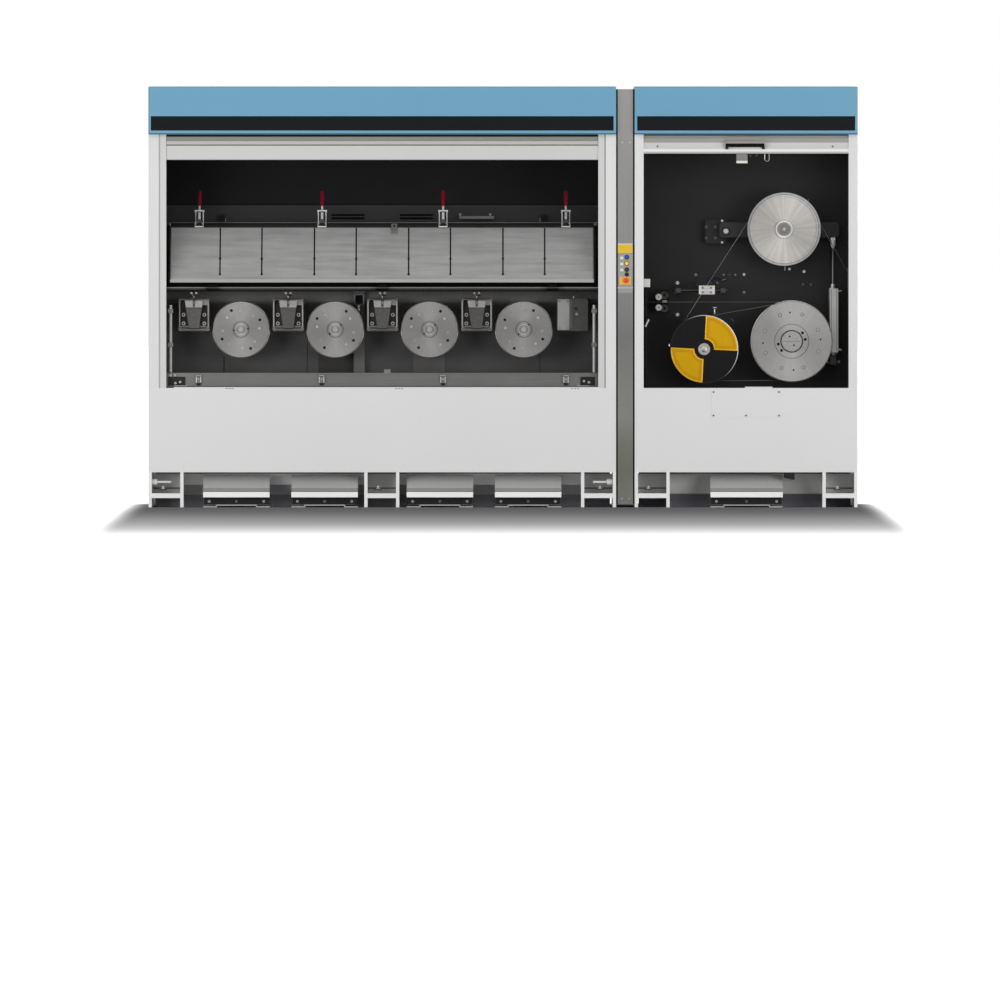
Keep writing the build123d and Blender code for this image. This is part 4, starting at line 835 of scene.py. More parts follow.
# Chamber: plates and seams on its back, the upstand of its head and the rim of the post's window
CHAMBER_X = (-2.09, 0.6)
RIM_Y = (-0.3325, -0.3295)
chamber = Piece("chamber_plates", "inner_dark")
plate_paint = painted("chamber_plate", 80, 0.45, stain=0.16, specular=0.3)
recess_paint = painted("chamber_recess", 46, 0.5, specular=0.25)
# The band's tones are painted shade and light: darker towards the top, where the parts above shade it, and lighter
# lower down.
head_paint = painted(
    "chamber_band", (100, 100, 99), 0.45, stain=0.22, stain_scale=5.0, specular=0.2,
    heights=[(1.26, (128, 128, 126)), (1.3, (112, 112, 111)), (1.335, (86, 86, 85))],
)
# The upstand is painted in light and dark bands along its height. The bright top band is a painted highlight on its
# edge.
upstand_paint = painted(
    "upstand", 60, 0.5, specular=0.2,
    heights=[
        (1.333, (84, 84, 83)), (1.3402, (84, 84, 83)), (1.3412, 22), (1.3464, 22),
        (1.3474, 54), (1.3524, 54), (1.3536, (116, 116, 115)), (1.36, (116, 116, 115)),
    ],
)
rim_paint = painted("post_rim", (150, 150, 148), 0.5, specular=0.3)
chamber.plates(
    PLATE_Y,
    (cols(318, 353), 0.002, rows(373, 350), recess_paint),
    (cols(413, 445), 0.004, rows(373, 345), plate_paint),
    (about(at_x(223), 0.002), 0.003, (0.76, at_z(357)), rubber),
    *((about(at_x(px), 0.002), 0.003, (0.76, 1.26), recess_paint) for px in (306.5, 413, 445, 540)),
)
chamber.box((-2.093, 0.603), deep(0.05, 0.053), (1.334, 1.359), upstand_paint)
chamber.plates(
    PLATE_Y, (CHAMBER_X, 0.01, (1.264, 1.333), head_paint), (CHAMBER_X, 0.012, (1.26, 1.263), rim_paint)
)
for z in ((1.251, 1.2545), (1.31, 1.3135)):
    chamber.box((-0.9215, -0.86), RIM_Y, z, rim_paint)
for x in ((-0.9215, -0.9145), (-0.8672, -0.86)):
    chamber.box(x, RIM_Y, (1.251, 1.3135), rim_paint)
for py in (306.5, 309.5):
    chamber.hex_bolt((-0.892, -0.33, at_z(py)), 0.0055)
for place in CAPSTAN_X:
    chamber.turned((place, PLATE_Y - 0.001, CAPSTAN_Z), [(0, 0.15), (0.008, 0.146)], recess_paint, 48)
chamber.done(0.0008)

# Sill: the catches, brackets with their bolts, and the clamps of the side tubes
sill = Piece("sill_fittings", "stainless")
sill.box(cols(384, 390.5), (SILL_Y - 0.008, SILL_Y + 0.01), rows(374, 369.4), dull_steel)
sill.plates(SILL_Y, ((-2.09, 0.598), 0.003, (0.824, 0.829), dull_steel))
for place in LATCH_X:
    for side in (-1, 1):
        sill.box(about(place + side * 0.0135, 0.0035), (SILL_Y - 0.018, SILL_Y - 0.0155), (0.769, 0.812), steel)
    sill.bar((place - 0.017, SILL_Y - 0.018, 0.811), (0.034, 0, 0), 0.0045, zinc)
    sill.bar((place, SILL_Y - 0.0155, 0.79), (0, -0.004, 0), 0.0055, zinc, 16)
    sill.box(about(place, 0.012), (SILL_Y - 0.017, SILL_Y), (0.753, 0.767), black)
for spots, block, lip in (
    (((170.5, 375.4), (174.8, 375.3), (175.3, 383.2), (180, 382)), (168, 185), (174, 187)),
    (((584, 381.2), (589, 382.4)), (580.5, 595), (577, 589.5)),
):
    sill.plates(
        SILL_Y, (cols(*block), 0.008, rows(385.4, 376.8), black), (cols(*lip), 0.012, rows(386.6, 385.6), steel)
    )
    for px, py in spots:
        sill.hex_bolt(at(px, SILL_Y - 0.008, py), 0.0055)
for place in (-2.053, 0.563):
    for py in (311, 345):
        sill.box(about(place, 0.016), (SILL_Y + 0.008, SILL_Y + 0.042), rows(py + 2, py - 2), dull_steel)
sill.done(0.0006)

# Die holders: bolts, the inner ledge and the jaw lines of each
NUT = [(0, 0.0138), (0.004, 0.0132), (0.006, 0.0115), (0.006, 0.0066), (0.002, 0.006)]
holders = Piece("die_holder_bolts", "machined_steel")
for place in HOLDER_X:
    for side in (-1, 1):
        for py in (314.8, 323.5):
            spot = (place + side * 0.064, HOLDER_Y, at_z(py))
            holders.turned(spot, NUT, steel_mid, 24)
            holders.turned(spot, [(0, 0.0052), (0.0035, 0.0048)], rubber, 16)
    corners = []
    for turn, x, z in ((0, 0.068, 1.263), (90, -0.068, 1.263), (180, -0.068, 1.118), (270, 0.068, 1.118)):
        corners += [polar((place + x, z), 0.021, turn + 18 * step) for step in range(6)]
    holders.tube([(x, FRONT + 0.2, z) for x, z in corners], 0.0066, dull_steel, 12, True)
    holders.plates(
        HOLDER_Y,
        (about(place, 0.082), 0.014, rows(328.4, 326.2), dark_steel),
        (about(place, 0.082), 0.016, rows(326.6, 325.9), dull_steel),
    )
    holders.box(about(place, 0.05), deep(0.1785, 0.181), (1.229, 1.233), black)
    holders.box(about(place, 0.0075), deep(0.177, 0.181), (1.237, 1.274), dark_steel)
    holders.bar((place - 0.006, FRONT + 0.18, 1.2795), (0.012, 0, 0), 0.01, dark_steel)
    holders.box((place + 0.048, place + 0.084), deep(0.196, 0.223), (1.247, 1.286), dull_steel)
    for side in (-1, 1):
        holders.bar((place + side * 0.0145, FRONT + 0.186, 1.3215), (0, -0.008, 0), 0.0075, steel, 16)
        holders.bar((place + side * 0.0145, FRONT + 0.18, 1.319), (side * -0.0105, 0, -0.018), 0.003, dull_steel, 12)
    holders.bar((place, FRONT + 0.1868, 1.296), (0, 0, 0.01), 0.0068, steel, 16)
    holders.bar((place, FRONT + 0.179, 1.256), (0, 0, 0.044), 0.0042, dull_steel, 12)
holders.done(0.0007)

exit_steel = brushed("exit_steel", (126, 126, 125), ALONG_Z, stain=0.25, stain_scale=14.0)
exit_box = Piece("exit_box_details", "stainless")
exit_box.plates(
    EXIT_Y,
    (cols(557.8, 569.6), 0.002, rows(329.8, 299.2), exit_steel),
    (cols(570, 572.6), 0.008, rows(329.8, 299), dark_steel),
)
exit_box.bar(at(576.9, EXIT_Y, 314.2), (0, -0.022, 0), 0.011, dull_steel)
exit_box.bar(at(576, EXIT_Y + 0.002, 308.6), (0, -0.006, 0), 0.01, black)
exit_box.bar((at_x(573.8), EXIT_Y + 0.02, 1.285), (0, 0, 0.018), 0.008, dull_steel)
handle = ((584, 298.9), (586.2, 299.6), (587.4, 301.6))
exit_box.tube([at(px, EXIT_Y + 0.004, py) for px, py in handle], 0.004, steel)
nozzle = [(0, 0.022), (0.01, 0.02), (0.016, 0.01)]
exit_box.turned((0.52, WIRE_Y, WIRE_Z), nozzle, dull_steel, aim=(1, 0, 0))
for px in (559.6, 568):
    for py in (301.2, 327.8):
        exit_box.cap_screw(at(px, EXIT_Y - 0.002, py), 0.005, dim_zinc)
exit_box.done(0.0006)

# Capstans: bolts, centre caps, black discs of painted shade in the holes, and the wire wound on each
HOLE_STARTS = (27, 59, 59, 63)
WOUND_R = 0.0016
BOLT_HEAD = [(0, 0), (0, 0.0078), (0.0022, 0.0074), (0.0022, 0.0042), (0.0008, 0)]
SHADE_DISC = [(0, 0.0091), (0.001, 0.0091)]
CENTRE_CAP = [
    (0, 0.0165), (0.003, 0.0155), (0.003, 0.011), (0.0015, 0.01), (0.0015, 0.0045), (0.003, 0.004),
]
for index, (place, start) in enumerate(zip(CAPSTAN_X, HOLE_STARTS), start=1):
    centre = (place, CAPSTAN_Z)
    bolts = Piece(f"capstan_bolts_{index}", "machined_steel", f"capstan_{index}")
    for step in range(8):
        x, z = polar(centre, 0.114, 45 * step + start - 23)
        bolts.lathe((x, FACE_Y, z), BOLT_HEAD, steel_mid if step % 3 else zinc, 20)
    for step in range(4):
        x, z = polar(centre, 0.131, 90 * step + start)
        bolts.turned((x, FACE_Y + 0.004, z), SHADE_DISC, rubber, 20)
    for step in range(2):
        x, z = polar(centre, 0.043, 180 * step + start - 20)
        bolts.turned((x, FACE_Y + 0.001, z), [(0, 0.0051), (0.0005, 0.0051)], rubber, 16)
    bolts.turned((place, FACE_Y - 0.008, CAPSTAN_Z), CENTRE_CAP, zinc)
    for turn in range(9):
        bolts.ring(centre, 0.1695, FRONT + 0.189 + 0.0065 * turn, WOUND_R, wire_steel, 64)
    bolts.done()

final = Piece("final_capstan_bolts", "machined_steel", "final_capstan")
for step in range(8):
    x, z = polar(FINAL, 0.177, 45 * step + 24)
    final.turned((x, FACE_Y + 0.002, z), [(0, 0.0118), (0.0026, 0.0118)], dark_steel, 24)
    final.turned((x, FACE_Y, z), [(0, 0.0094), (0.0022, 0.009), (0.0022, 0.005), (0.001, 0.0048)], steel_mid, 20)
for step in range(4):
    x, z = polar(FINAL, 0.178, 90 * step + 3.5)
    final.turned((x, FACE_Y, z), [(0, 0.0055), (0.0006, 0.005)], rubber, 16)
# Black discs in these holes are painted shade.
for angle in (8, 38, 192, 222):
    x, z = polar(FINAL, 0.0845, angle)
    final.turned((x, FACE_Y + 0.0068, z), [(0, 0.0091), (0.002, 0.0091)], rubber, 20)
final.turned((FINAL[0], FACE_Y, FINAL[1]), [(0, 0.0625), (0.002, 0.061)], hub_steel, 48)
for reach, angle, material, size in (
    (0.033, 113, rubber, 0.0055), (0.028, -60, rubber, 0.0055), (0.044, 165, zinc, 0.005),
    (0.046, 200, zinc, 0.005), (0.046, 270, zinc, 0.0045), (0.034, 60, zinc, 0.0045),
    (0.05, 20, zinc, 0.0045), (0.018, 250, zinc, 0.0045),
):
    x, z = polar(FINAL, reach, angle)
    final.turned((x, FACE_Y - 0.002, z), [(0, size), (0.0012, size * 0.8)], material, 16)
final.box(about(FINAL[0], 0.052), (FACE_Y - 0.0026, FACE_Y - 0.0018), about(FINAL[1], 0.0012), dark_steel)
for turn in range(4):
    final.ring(FINAL, 0.2425, FRONT + 0.196 + 0.012 * turn, WOUND_R, wire_steel, 90)
final.done()

# Idler and dancer hubs
IDLER_Y = WIRE_Y - 0.03 - 0.018
IDLER_HUB = [
    (0, 0.036), (0.003, 0.034), (0.003, 0.026), (0.001, 0.025), (0.001, 0.019), (0.008, 0.017), (0.01, 0.008),
]
idler = Piece("idler_hub", "aluminium", "idler")
idler.turned((IDLER[0], IDLER_Y - 0.014, IDLER[1]), IDLER_HUB, zinc, 36)
for step in range(4):
    x, z = polar(IDLER, 0.05, 90 * step + 42)
    idler.cap_screw((x, IDLER_Y, z), 0.006, black)
for turn in (COVER_TURN, COVER_TURN + 180):
    border = [polar(IDLER, 0.066, turn + 3 + 84 * step / 16) for step in range(17)]
    border += [polar(IDLER, 0.2035, turn + 89 - 88 * step / 40) for step in range(41)]
    idler.tube([(x, IDLER_Y - 0.0005, z) for x, z in border], 0.0026, rim_yellow, 8, True)
idler.done(0.0004)

dancer = Piece("dancer_hub", "aluminium", "dancer_sheave")
for reach, tall, material in (
    (0.041, 0.003, steel_mid), (0.0365, 0.004, dark_steel), (0.0335, 0.005, dull_steel), (0.0235, 0.006, dark_steel),
    (0.0205, 0.007, dull_steel), (0.0085, 0.009, zinc), (0.0035, 0.012, white_plastic),
):
    dancer.turned((DANCER[0], WIRE_Y - 0.03, DANCER[1]), [(0, reach), (tall, reach - 0.0006)], material, 40)
dancer.done(0.0004)

# Dancer arm and bracket: pivot washer and bolts
bracket = Piece("dancer_bracket_bolts", "steel_dark")
for px in (706.8, 716.1):
    for py in (226.6, 237.9):
        bracket.hex_bolt(at(px, PLATE_Y - 0.055, py), 0.0065, dark_steel)
for py in (220.5, 242.2):
    bracket.hex_bolt((at_x(723.4) - 0.004, PLATE_Y - 0.055, at_z(py)), 0.0052)
pivot = [(0, 0.0165), (0.003, 0.0155), (0.003, 0.009), (0.007, 0.008)]
bracket.turned((ARM_PIVOT[0], FRONT + 0.3145, ARM_PIVOT[1]), pivot, zinc, 32)
bracket.done(0.0006)

# Right bay: bolts and fittings on the mounting plate
ROLLER_X = 0.9625
STEM_Y = -0.575
PIN_Y = -0.56
HOSE_Y = -0.5
wall = Piece("plate_bolts", "machined_steel")
for px, py, size, material in (
    (678.1, 282.8, 0.0075, zinc), (678.1, 314.7, 0.0075, zinc), (676, 292.5, 0.006, dark_steel),
    (696.4, 274.7, 0.006, dim_zinc), (724.5, 274.7, 0.0045, dim_zinc), (730.3, 274.7, 0.0045, dark_steel),
    (736.1, 274.7, 0.0045, dim_zinc), (744.9, 274.4, 0.006, zinc), (744.9, 292.2, 0.006, dim_zinc),
    (718.0, 282.6, 0.0045, dim_zinc), (711.5, 282.8, 0.0045, dark_steel), (804.2, 284.3, 0.005, dark_steel),
    (811.9, 284.3, 0.005, dark_steel), (829.3, 362.6, 0.006, dim_zinc), (840.0, 362.0, 0.006, dim_zinc),
):
    wall.hex_bolt(at(px, PLATE_Y, py), size, material)
wall.boxes(((662.7, 667.2), (0.185, 0.245), (302.6, 300.2), dim_zinc))
elbow = ((648.6, 0.05, 319.4), (647.0, 0.048, 322.8), (645.2, 0.048, 326.7))
wall.tube([at(px, FRONT + depth, py) for px, depth, py in elbow], 0.008, zinc)
roller_cap = [(0, 0.0165), (0.002, 0.0155), (0.002, 0.0095), (0.0005, 0.009)]
for height in (WIRE_Z - 0.0325, WIRE_Z + 0.0325):
    wall.turned((ROLLER_X, FRONT + 0.201, height), roller_cap, zinc)
    wall.turned((ROLLER_X, FRONT + 0.2, height), [(0, 0.0055), (0.004, 0.0045)], dark_steel, 16)
for height in (WIRE_Z - 0.037, WIRE_Z + 0.044):
    for radius in (0.021, 0.0125):
        wall.ring((0.998, height), radius, FRONT + 0.233, WOUND_R, dim_zinc, 32)
for x in (1.235, 1.285):
    for height in (1.326, 1.356):
        wall.cap_screw((x, FRONT + 0.19, height), 0.006, dim_zinc)
for height in (1.3215, 1.3335, 1.3485, 1.3605):
    wall.box((1.2255, 1.2945), deep(0.1885, 0.1915), about(height, 0.001), dark_steel)
hose = (
    (710.5, 0.012, 282.0), (712.5, 0.03, 278.0), (716.5, 0.036, 275.6), (721.0, 0.03, 276.8), (723.0, 0.018, 279.6)
)
wall.tube([at(px, PLATE_Y - depth, py) for px, depth, py in hose], 0.005, hose_blue)
for (px, depth, py), (px_2, depth_2, py_2), radius, material in (
    ((695.6, 0.01, 282.2), (699.2, 0.04, 286.2), 0.004, zinc),
    ((722.2, 0.018, 280.4), (726.6, 0.018, 279.0), 0.0045, dim_zinc),
    ((838.6, 0.1, 290.9), (842.6, 0.1, 290.9), 0.0045, zinc),
    ((838.6, 0.1, 350.2), (842.6, 0.1, 350.2), 0.0045, zinc),
    ((713.2, 0.295, 307.6), (717.0, 0.295, 307.6), 0.005, zinc),
    ((713.6, 0.295, 312.8), (716.4, 0.295, 312.8), 0.0045, dim_zinc),
    ((669.4, 0.28, 345.2), (669.4, 0, 345.2), 0.0035, black),
):
    wall.rod(at(px, PLATE_Y - depth, py), at(px_2, PLATE_Y - depth_2, py_2), radius, material, 12)
for px, py, tall in ((785.7, 268.4, 0.013), (808.9, 200.6, 0.012)):
    wall.bar((at_x(px), FRONT + 0.33, at_z(py) - tall), (0, 0, 2 * tall), 0.004, dim_zinc, 12)
collar = [(0, 0), (0, 0.009), (0.004, 0.008), (0.004, 0.004), (0, 0.004)]
wall.lathe(at(790.3, FRONT + 0.335, 268.9), collar, zinc, 20)
wall.hex_bolt(at(805.0, PLATE_Y - 0.02, 271.4), 0.0065)
wall.tube([(at_x(715.0), STEM_Y, 1.193), at(715.0, STEM_Y, 308.8)], 0.0028, zinc)
wall.bar((at_x(715.0), STEM_Y, 1.195), (0, PLATE_Y - STEM_Y, 0), 0.0045, dark_steel, 12)
wall.bar((at_x(669.4), PIN_Y, at_z(345.2) - 0.008), (0, 0, 0.016), 0.0045, zinc, 12)
wall.tube([at(731.5, HOSE_Y, 318.8), at(734.0, HOSE_Y, 321.0), at(733.0, HOSE_Y + 0.02, 324.5)], 0.004, hose_blue)
cylinder_profile = brushed("cylinder_profile", (160, 159, 157), ALONG_Z, stain=0.2, stain_scale=9.0)
wall.box((2.022, 2.074), (-0.3945, -0.37), (0.955, 1.35), cylinder_profile)
for place in (2.031, 2.065):
    wall.box(about(place, 0.0014), (-0.395, -0.37), (0.957, 1.348), dark_steel)
wall.done(0.0005)

# Feet: bolts that stand on the beams' webs, and the bolts that couple the bays
FOOT_Y = FRONT + 0.04
feet = Piece("foot_bolts", "machined_steel")
for px in (163, 378, 600, 648.5, 837.5):
    feet.bar((at_x(px), FOOT_Y, 0.108), (0, 0, 0.004), 0.025, dark_grey)
    feet.turned((at_x(px), FOOT_Y, 0.112), [(0, 0.0145), (0.011, 0.0145)], zinc, 6, aim=UPWARDS)
    feet.bar((at_x(px), FOOT_Y, 0.123), (0, 0, 0.008), 0.0065, clamp_white)
for low, high, nut in ((148.9, 171, 154.5), (593, 614.8, 609.5)):
    feet.rod((at_x(low), FOOT_Y, 0.156), (at_x(high), FOOT_Y, 0.156), 0.0075, clamp_white)
    feet.turned((at_x(nut) - 0.016, FOOT_Y, 0.156), [(0, 0.019), (0.032, 0.019)], clamp_white, 6, aim=(1, 0, 0))
feet.done(0.0006)

# Plates close the base behind the beams' front ends and stand for the shade under the machine. Their painted shades are
# at the foot, in the middle and above, darker on the right
under_shade = Piece("under_shade_plates", "inner_dark")
for x, name, (foot, middle, upper) in (
    ((-2.15, 0.662), "under_shade_left", ((174, 172, 180), (142, 140, 148), (198, 197, 201))),
    ((0.838, 2.15), "under_shade_right", ((118, 117, 124), (98, 96, 104), (128, 127, 132))),
):
    shades = [(0.0, foot), (0.045, middle), (0.073, middle), (0.078, upper), (0.21, upper)]
    under_shade_paint = painted(name, middle, 0.6, stain=0.06, specular=0.2, heights=shades)
    under_shade.box(x, (-0.43, -0.427), (0.0002, 0.2155), under_shade_paint)
# The black strips in front of the rails are a painted shadow line under them.
for low, high in ((152, 180.3), (367.5, 396.3), (584.4, 612.5), (638, 666.2), (826.3, 853.7)):
    under_shade.box(cols(low, high), (-0.4535, -0.4505), (0.113, 0.119), black)
under_shade.done(0.0006)

# Pedals: an embossed tread on each plate, a lip edge and the bracket's bolts
SLOPE_FRONT = Vector((0, FRONT - 0.03, 0.101))
SLOPE_BACK = Vector((0, FRONT + 0.13, 0.199))
TREAD_ROWS = 13
TREAD_PITCH = 0.0145
TREAD_SIDE = 0.01
TREAD_LOW, TREAD_MARGINS = 0.022, 0.034
across = SLOPE_BACK - SLOPE_FRONT
slope_length = across.length
across.normalize()
up = Vector((0, -across.z, across.y))
for index, place in enumerate(PEDAL_X, start=1):
    half = 0.223 if index == 5 else 0.205
    tread = Piece(f"pedal_tread_{index}", "frame_grey", f"pedal_{index}")
    columns = int(2 * half / TREAD_PITCH)
    for row in range(TREAD_ROWS):
        along = TREAD_LOW + (slope_length - TREAD_MARGINS) * row / (TREAD_ROWS - 1)
        for column in range(columns):
            x = place - half + TREAD_SIDE + (2 * half - 2 * TREAD_SIDE) * (column + 0.5 * (row % 2)) / columns
            middle = Vector((x, 0, 0)) + SLOPE_FRONT + across * along
            lean = 1 if (row + column) % 2 else -1
            first = Vector((0.0045, 0, 0)) + across * 0.0028 * lean
            second = Vector((-0.0014 * lean, 0, 0)) + across * 0.0022
            base = [middle + first, middle + second, middle - first, middle - second]
            verts = [tread.mesh.verts.new(spot - up * 0.0003) for spot in base]
            top = tread.mesh.verts.new(middle + up * 0.0016)
            faces = [tread.mesh.faces.new((verts[s], verts[(s + 1) % 4], top)) for s in range(4)]
            faces.append(tread.mesh.faces.new(verts[::-1]))
            tread.paint(faces, pedal_paint)
    tread.box(about(place, half), deep(-0.0315, -0.03), (0.0955, 0.101), dull_steel)
    tread.done()

bolts = Piece("pedal_bolts", "steel_dark")
for index, place in enumerate(PEDAL_X, start=1):
    reach = 0.186 if index == 5 else 0.168
    for offset in (-reach, 0, reach):
        bolts.hex_bolt((place + offset, FRONT + 0.016, 0.036), 0.0062, zinc if offset else dim_zinc)
bolts.done(0.0004)

# Lid: rim strips, rubber end seals, plugs at the slots and a small catch
RIM_X = (-2.055, 0.561)
LINER = -0.012
rim = Piece("lid_trim", "stainless", "lid", LID)
rim.box(RIM_X, (-0.0195, LINER), (0.0325, 0.057), steel)
rim.box(RIM_X, (-0.019, LINER), (0.448, 0.452), dull_steel)
for place in (-2.061, 0.5675):
    wavy = [(place + 0.0025 * sin(step * 1.1), -0.019, 0.045 + 0.0105 * step) for step in range(40)]
    rim.tube(wavy, 0.0045, rubber, 8)
for place in (-2.052, 0.558):
    rim.box(about(place, 0.003), (-0.015, LINER), (0.056, 0.448), dull_steel)
for centre in CAPSTAN_X:
    for side in (-0.129, 0.129):
        for reach in (0.215, 0.098):
            rim.bar((centre + side, -0.01, reach), (0, -0.0065, 0), 0.0075, rubber, 16)
rim.box(cols(391, 397), (-0.023, -0.018), (0.4, 0.474), steel)
rim.bar((at_x(394), -0.023, 0.455), (0, -0.0035, 0), 0.007, black)
for place in (-2.063, 0.57):
    rim.bar((place, 0.0, 0.474), (0, 0, 0.02), 0.01, zinc)
rim.done(0.0006)

# Clamp levers: replaced by levers with a shaped grip, arms, a cross pin and a loop
PIVOT_V = 0.044
PIN_W = 0.613
LOOP = 0.075
LOOP_V, LOOP_W = PIVOT_V + LOOP * sin(LEAN), PIN_W - LOOP * cos(LEAN)
GRIP = [
    (0, 0), (0, 0.0055), (0.04, 0.0055), (0.042, 0.009), (0.05, 0.0105), (0.07, 0.011), (0.11, 0.0119),
    (0.14, 0.0122), (0.153, 0.0112), (0.159, 0.007), (0.16, 0),
]
for index, place in enumerate(LATCH_X, start=1):
    lever = Piece(f"clamp_lever_form_{index}", "grip_red", f"clamp_lever_{index}", LID)
    for side in (-1, 1):
        low = place + side * 0.0085 - 0.0012
        lever.box((low - 0.0012, low + 0.0022), about(PIVOT_V, 0.008), (0.513, 0.622), steel)
    lever.box(about(place, 0.0065), (PIVOT_V - 0.01, PIVOT_V - 0.007), (0.548, 0.6), clamp_white)
    lever.bar((place - 0.029, PIVOT_V - 0.008, PIN_W), (0.058, 0, 0), 0.0048, clamp_white)
    for side in (-1, 1):
        spot = (place + side * 0.022, PIVOT_V - 0.004, PIN_W)
        lever.turned(spot, [(0, 0.0085), (0.0075, 0.0085)], clamp_white, 6, aim=(side, 0, 0))
    lever.lathe((place, PIVOT_V, 0.61), GRIP, red, aim=UPWARDS)
    lever.bar((place, PIVOT_V, 0.614), (0, 0, 0.038), 0.0066, clamp_white)
    for side in (-0.023, 0.023):
        lever.rod((place + side, PIVOT_V, PIN_W), (place + side, LOOP_V, LOOP_W), 0.0036, clamp_white)
    lever.bar((place - 0.026, LOOP_V, LOOP_W), (0.052, 0, 0), 0.0046, clamp_white)
    lever.done(0.0004, [f"clamp_lever_{index}"])

    base = Piece(f"clamp_base_details_{index}", "stainless", "lid", LID)
    base.box(about(place, 0.0095), (0.024, 0.03), (0.47, 0.524), zinc)
    base.bar((place - 0.0175, PIVOT_V, 0.52), (0.035, 0, 0), 0.0055, zinc)
    base.bar((place - 0.0265, -0.023, 0.451), (0.053, 0, 0), 0.0042, clamp_white)
    for side in (-0.0245, 0.0245):
        base.bar((place + side, -0.023, 0.451), (0, 0.028, 0.047), 0.0036, clamp_white)
    for reach in (0.436, 0.456):
        base.cap_screw((place, 0.024, reach), 0.005, aim=(0, 1, 0))
    base.done(0.0004)


# Wire: it runs level to the final capstan, round the idler, and up over the dancer sheave
WIRE_R = 0.0017
WIRE_START, WIRE_END = -2.186, 2.185
LEVEL_Z = WIRE_Z + 0.0012
LANE = 0.006


def on_line(spot, y=WIRE_Y):
    """Give the point of an (x, z) place at the wire's depth."""
    return spot[0], y, spot[1]


def touch(point, centre, radius, side):
    """Give the angle, in degrees, at which a line from a point touches a circle."""
    dx, dz = point[0] - centre[0], point[1] - centre[1]
    return degrees(atan2(dz, dx) + side * acos(radius / hypot(dx, dz)))


def run(piece, first, last, steps):
    """Add a straight run of wire."""
    first, last = Vector(first), Vector(last)
    piece.tube([first.lerp(last, step / steps) for step in range(steps + 1)], WIRE_R, wire_steel, 8)


def wrap(piece, centre, radius, start, end, steps=40):
    """Add wire round a sheave, between two angles in degrees."""
    spots = [polar(centre, radius, start + (end - start) * step / steps) for step in range(steps + 1)]
    piece.tube([on_line(spot) for spot in spots], WIRE_R, wire_steel, 8)


IDLER_R = 0.194 + WIRE_R
FINAL_R = 0.241 + WIRE_R
DANCER_R = 0.21 + WIRE_R
GUIDE = (at_x(711), at_z(279.5))
OUTLET = (at_x(847), at_z(269.5))
gap = (FINAL[0] - IDLER[0], FINAL[1] - IDLER[1])
tilt = degrees(atan2(gap[1], gap[0]))
spread = degrees(acos((FINAL_R - IDLER_R) / hypot(*gap)))
wire = Piece("drawn_wire", "machined_steel")
wire.rod((0.868, WIRE_Y, WIRE_Z), (0.985, WIRE_Y, WIRE_Z), 0.0055, black)
run(wire, (WIRE_START, WIRE_Y, LEVEL_Z), (1.79, WIRE_Y, LEVEL_Z), 8)
for lane in (-LANE, LANE):
    for side in (1, -1):
        angle = tilt + side * (180 - spread)
        first, last = polar(FINAL, FINAL_R, angle), polar(IDLER, IDLER_R, angle)
        run(wire, on_line(first, WIRE_Y + lane), on_line(last, WIRE_Y + lane), 2)
wrap(wire, IDLER, IDLER_R, tilt + 180 - spread, tilt + 180 + spread)
run(wire, on_line(polar(IDLER, IDLER_R, touch(GUIDE, IDLER, IDLER_R, 1))), on_line(GUIDE), 4)
wire.done()

meet = touch(GUIDE, DANCER, DANCER_R, -1) + 360
part = touch(OUTLET, DANCER, DANCER_R, 1)
over = Piece("wire_over_dancer", "machined_steel", "dancer_arm")
wrap(over, DANCER, DANCER_R, meet, part)
over.done()


def blended(name, fixed, angle, steps):
    """Add wire from a fixed place to the sheave on the swinging arm, and give where it ends."""
    first, last = on_line(fixed), on_line(polar(DANCER, DANCER_R, angle))
    piece = Piece(name, "machined_steel")
    run(piece, first, last, steps)
    made = piece.build(pi)
    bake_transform(made)
    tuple(first)
    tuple(last)
    return last


blended("wire_to_dancer", GUIDE, meet, 40)
start = blended("wire_from_dancer", OUTLET, part, 30)
rise = (OUTLET[1] - start[2]) / (OUTLET[0] - start[0])
outgoing = Piece("wire_out", "machined_steel")
run(outgoing, on_line(OUTLET), on_line((WIRE_END, OUTLET[1] + rise * (WIRE_END - OUTLET[0]))), 4)
outgoing.done()

# Stage: the floor is pale and shows as white from a few metres away. A wide soft shade lies before the front
FLOOR_PAINT = (0.8, 0.8, 0.8)
FLOOR_GLOW = 0.95
SKY_LIGHT = 0.37
SHADE = 0.26
SHADE_REACH = 14.7
SHADE_CURVE = 3.0
SIDE_FADE, BACK_FADE = 80.0, 14.0
SHADE_HALF_WIDTH = 2.15
FLOOR_REACH = 400.0
floor_data = bpy.data.meshes.new("floor")
corners = [(x * FLOOR_REACH, y * FLOOR_REACH, 0) for x, y in ((-1, -1), (1, -1), (1, 1), (-1, 1))]
floor_data.from_pydata(corners, [], [(0, 1, 2, 3)])
floor = bpy.data.objects.new("floor", floor_data)
floor.location.z = -0.0004
bpy.context.scene.collection.objects.link(floor)
studio = Maker("floor")
math = studio.math
x, y, z = studio.parts(studio.coords)
beside = math("MAXIMUM", math("SUBTRACT", math("ABSOLUTE", x), SHADE_HALF_WIDTH), 0.0)
before = math("MAXIMUM", math("SUBTRACT", FRONT, y), 0.0)
behind = math("MAXIMUM", math("SUBTRACT", y, BACK), 0.0)
away = {0: math("MULTIPLY", beside, SIDE_FADE), 1: before, 2: math("MULTIPLY", behind, BACK_FADE)}
away = studio.vector("LENGTH", studio.add("CombineXYZ", away).outputs[0])
share = math("MINIMUM", math("DIVIDE", away, SHADE_REACH), 1.0)
share = math("POWER", share, SHADE_CURVE)
mask = studio.shown()
glow = studio.add("Emission", {1: math("MULTIPLY", mask, math("MULTIPLY", share, FLOOR_GLOW))})
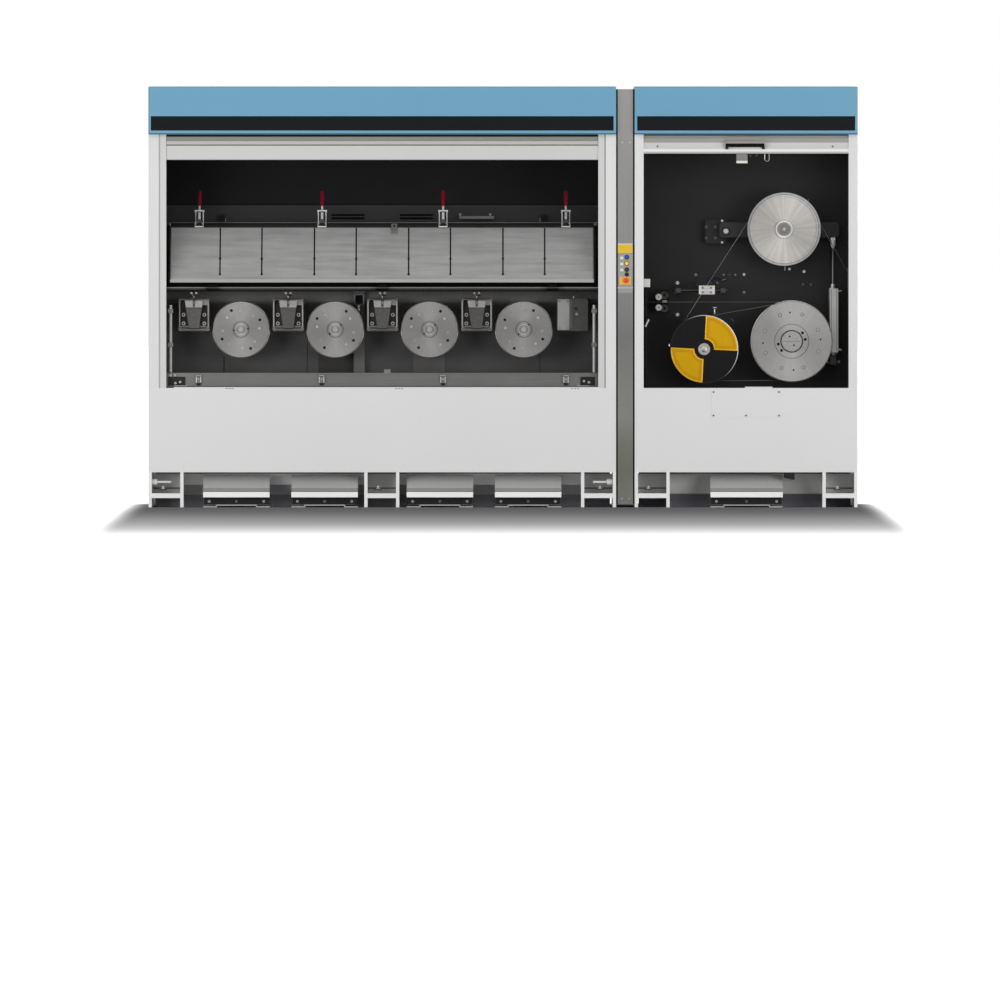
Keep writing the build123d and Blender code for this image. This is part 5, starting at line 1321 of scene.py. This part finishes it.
shade = studio.mix(math("MULTIPLY", mask, math("SUBTRACT", 1.0, share)), 1.0, SHADE)
pale = studio.add("BsdfDiffuse", {0: studio.scaled(FLOOR_PAINT, shade)})
both = studio.add("AddShader", {0: pale.outputs[0], 1: glow.outputs[0]})
studio.add("OutputMaterial", {0: both.outputs[0]})
floor_data.materials.append(studio.material)
floor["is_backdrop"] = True

world = bpy.data.worlds.new("studio")
bpy.context.scene.world = world
sky = Tree(world)
background = sky.add("Background", {0: (1, 1, 1, 1), 1: sky.mix(sky.shown(), SKY_LIGHT, 1.0)})
sky.add("OutputWorld", {0: background.outputs[0]})

for name, place, target, size, power in (
    ("key", (-7.0, -8.4, 1.4), (-0.4, -0.6, 0.9), (4.5, 2.6), 335),
    ("fill", (7.0, -8.4, 1.4), (0.4, -0.6, 0.9), (4.5, 2.6), 300),
    ("front_top", (0.0, -7.0, 4.4), (0, -0.6, 1.0), (9.0, 2.4), 110),
):
    lamp_data = bpy.data.lights.new(name, "AREA")
    lamp_data.shape = "RECTANGLE"
    lamp_data.size, lamp_data.size_y = size
    lamp_data.energy = power
    lamp = bpy.data.objects.new(name, lamp_data)
    lamp.location = place
    lamp.rotation_mode = "QUATERNION"
    lamp.rotation_quaternion = (Vector(target) - Vector(place)).to_track_quat("-Z", "Y")
    bpy.context.scene.collection.objects.link(lamp)

DISTANCE = 120.0
IMAGE = 1000
EYE = 1.28
camera_data = bpy.data.cameras.new("camera")
camera_data.sensor_width = 36.0
camera_data.lens = 36.0 * DISTANCE / (IMAGE * PIXEL)
camera_data.shift_y = -(IMAGE / 2 - (ORIGIN_Z - EYE / PIXEL)) / IMAGE
camera_data.clip_end = 1000.0
camera = bpy.data.objects.new("camera", camera_data)
camera.location = ((IMAGE / 2 - ORIGIN_X) * PIXEL, FRONT - DISTANCE, EYE)
camera.rotation_euler = (radians(90), 0, 0)
bpy.context.scene.collection.objects.link(camera)
bpy.context.scene.camera = camera
bpy.context.scene.view_settings.view_transform = "Standard"

low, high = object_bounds()
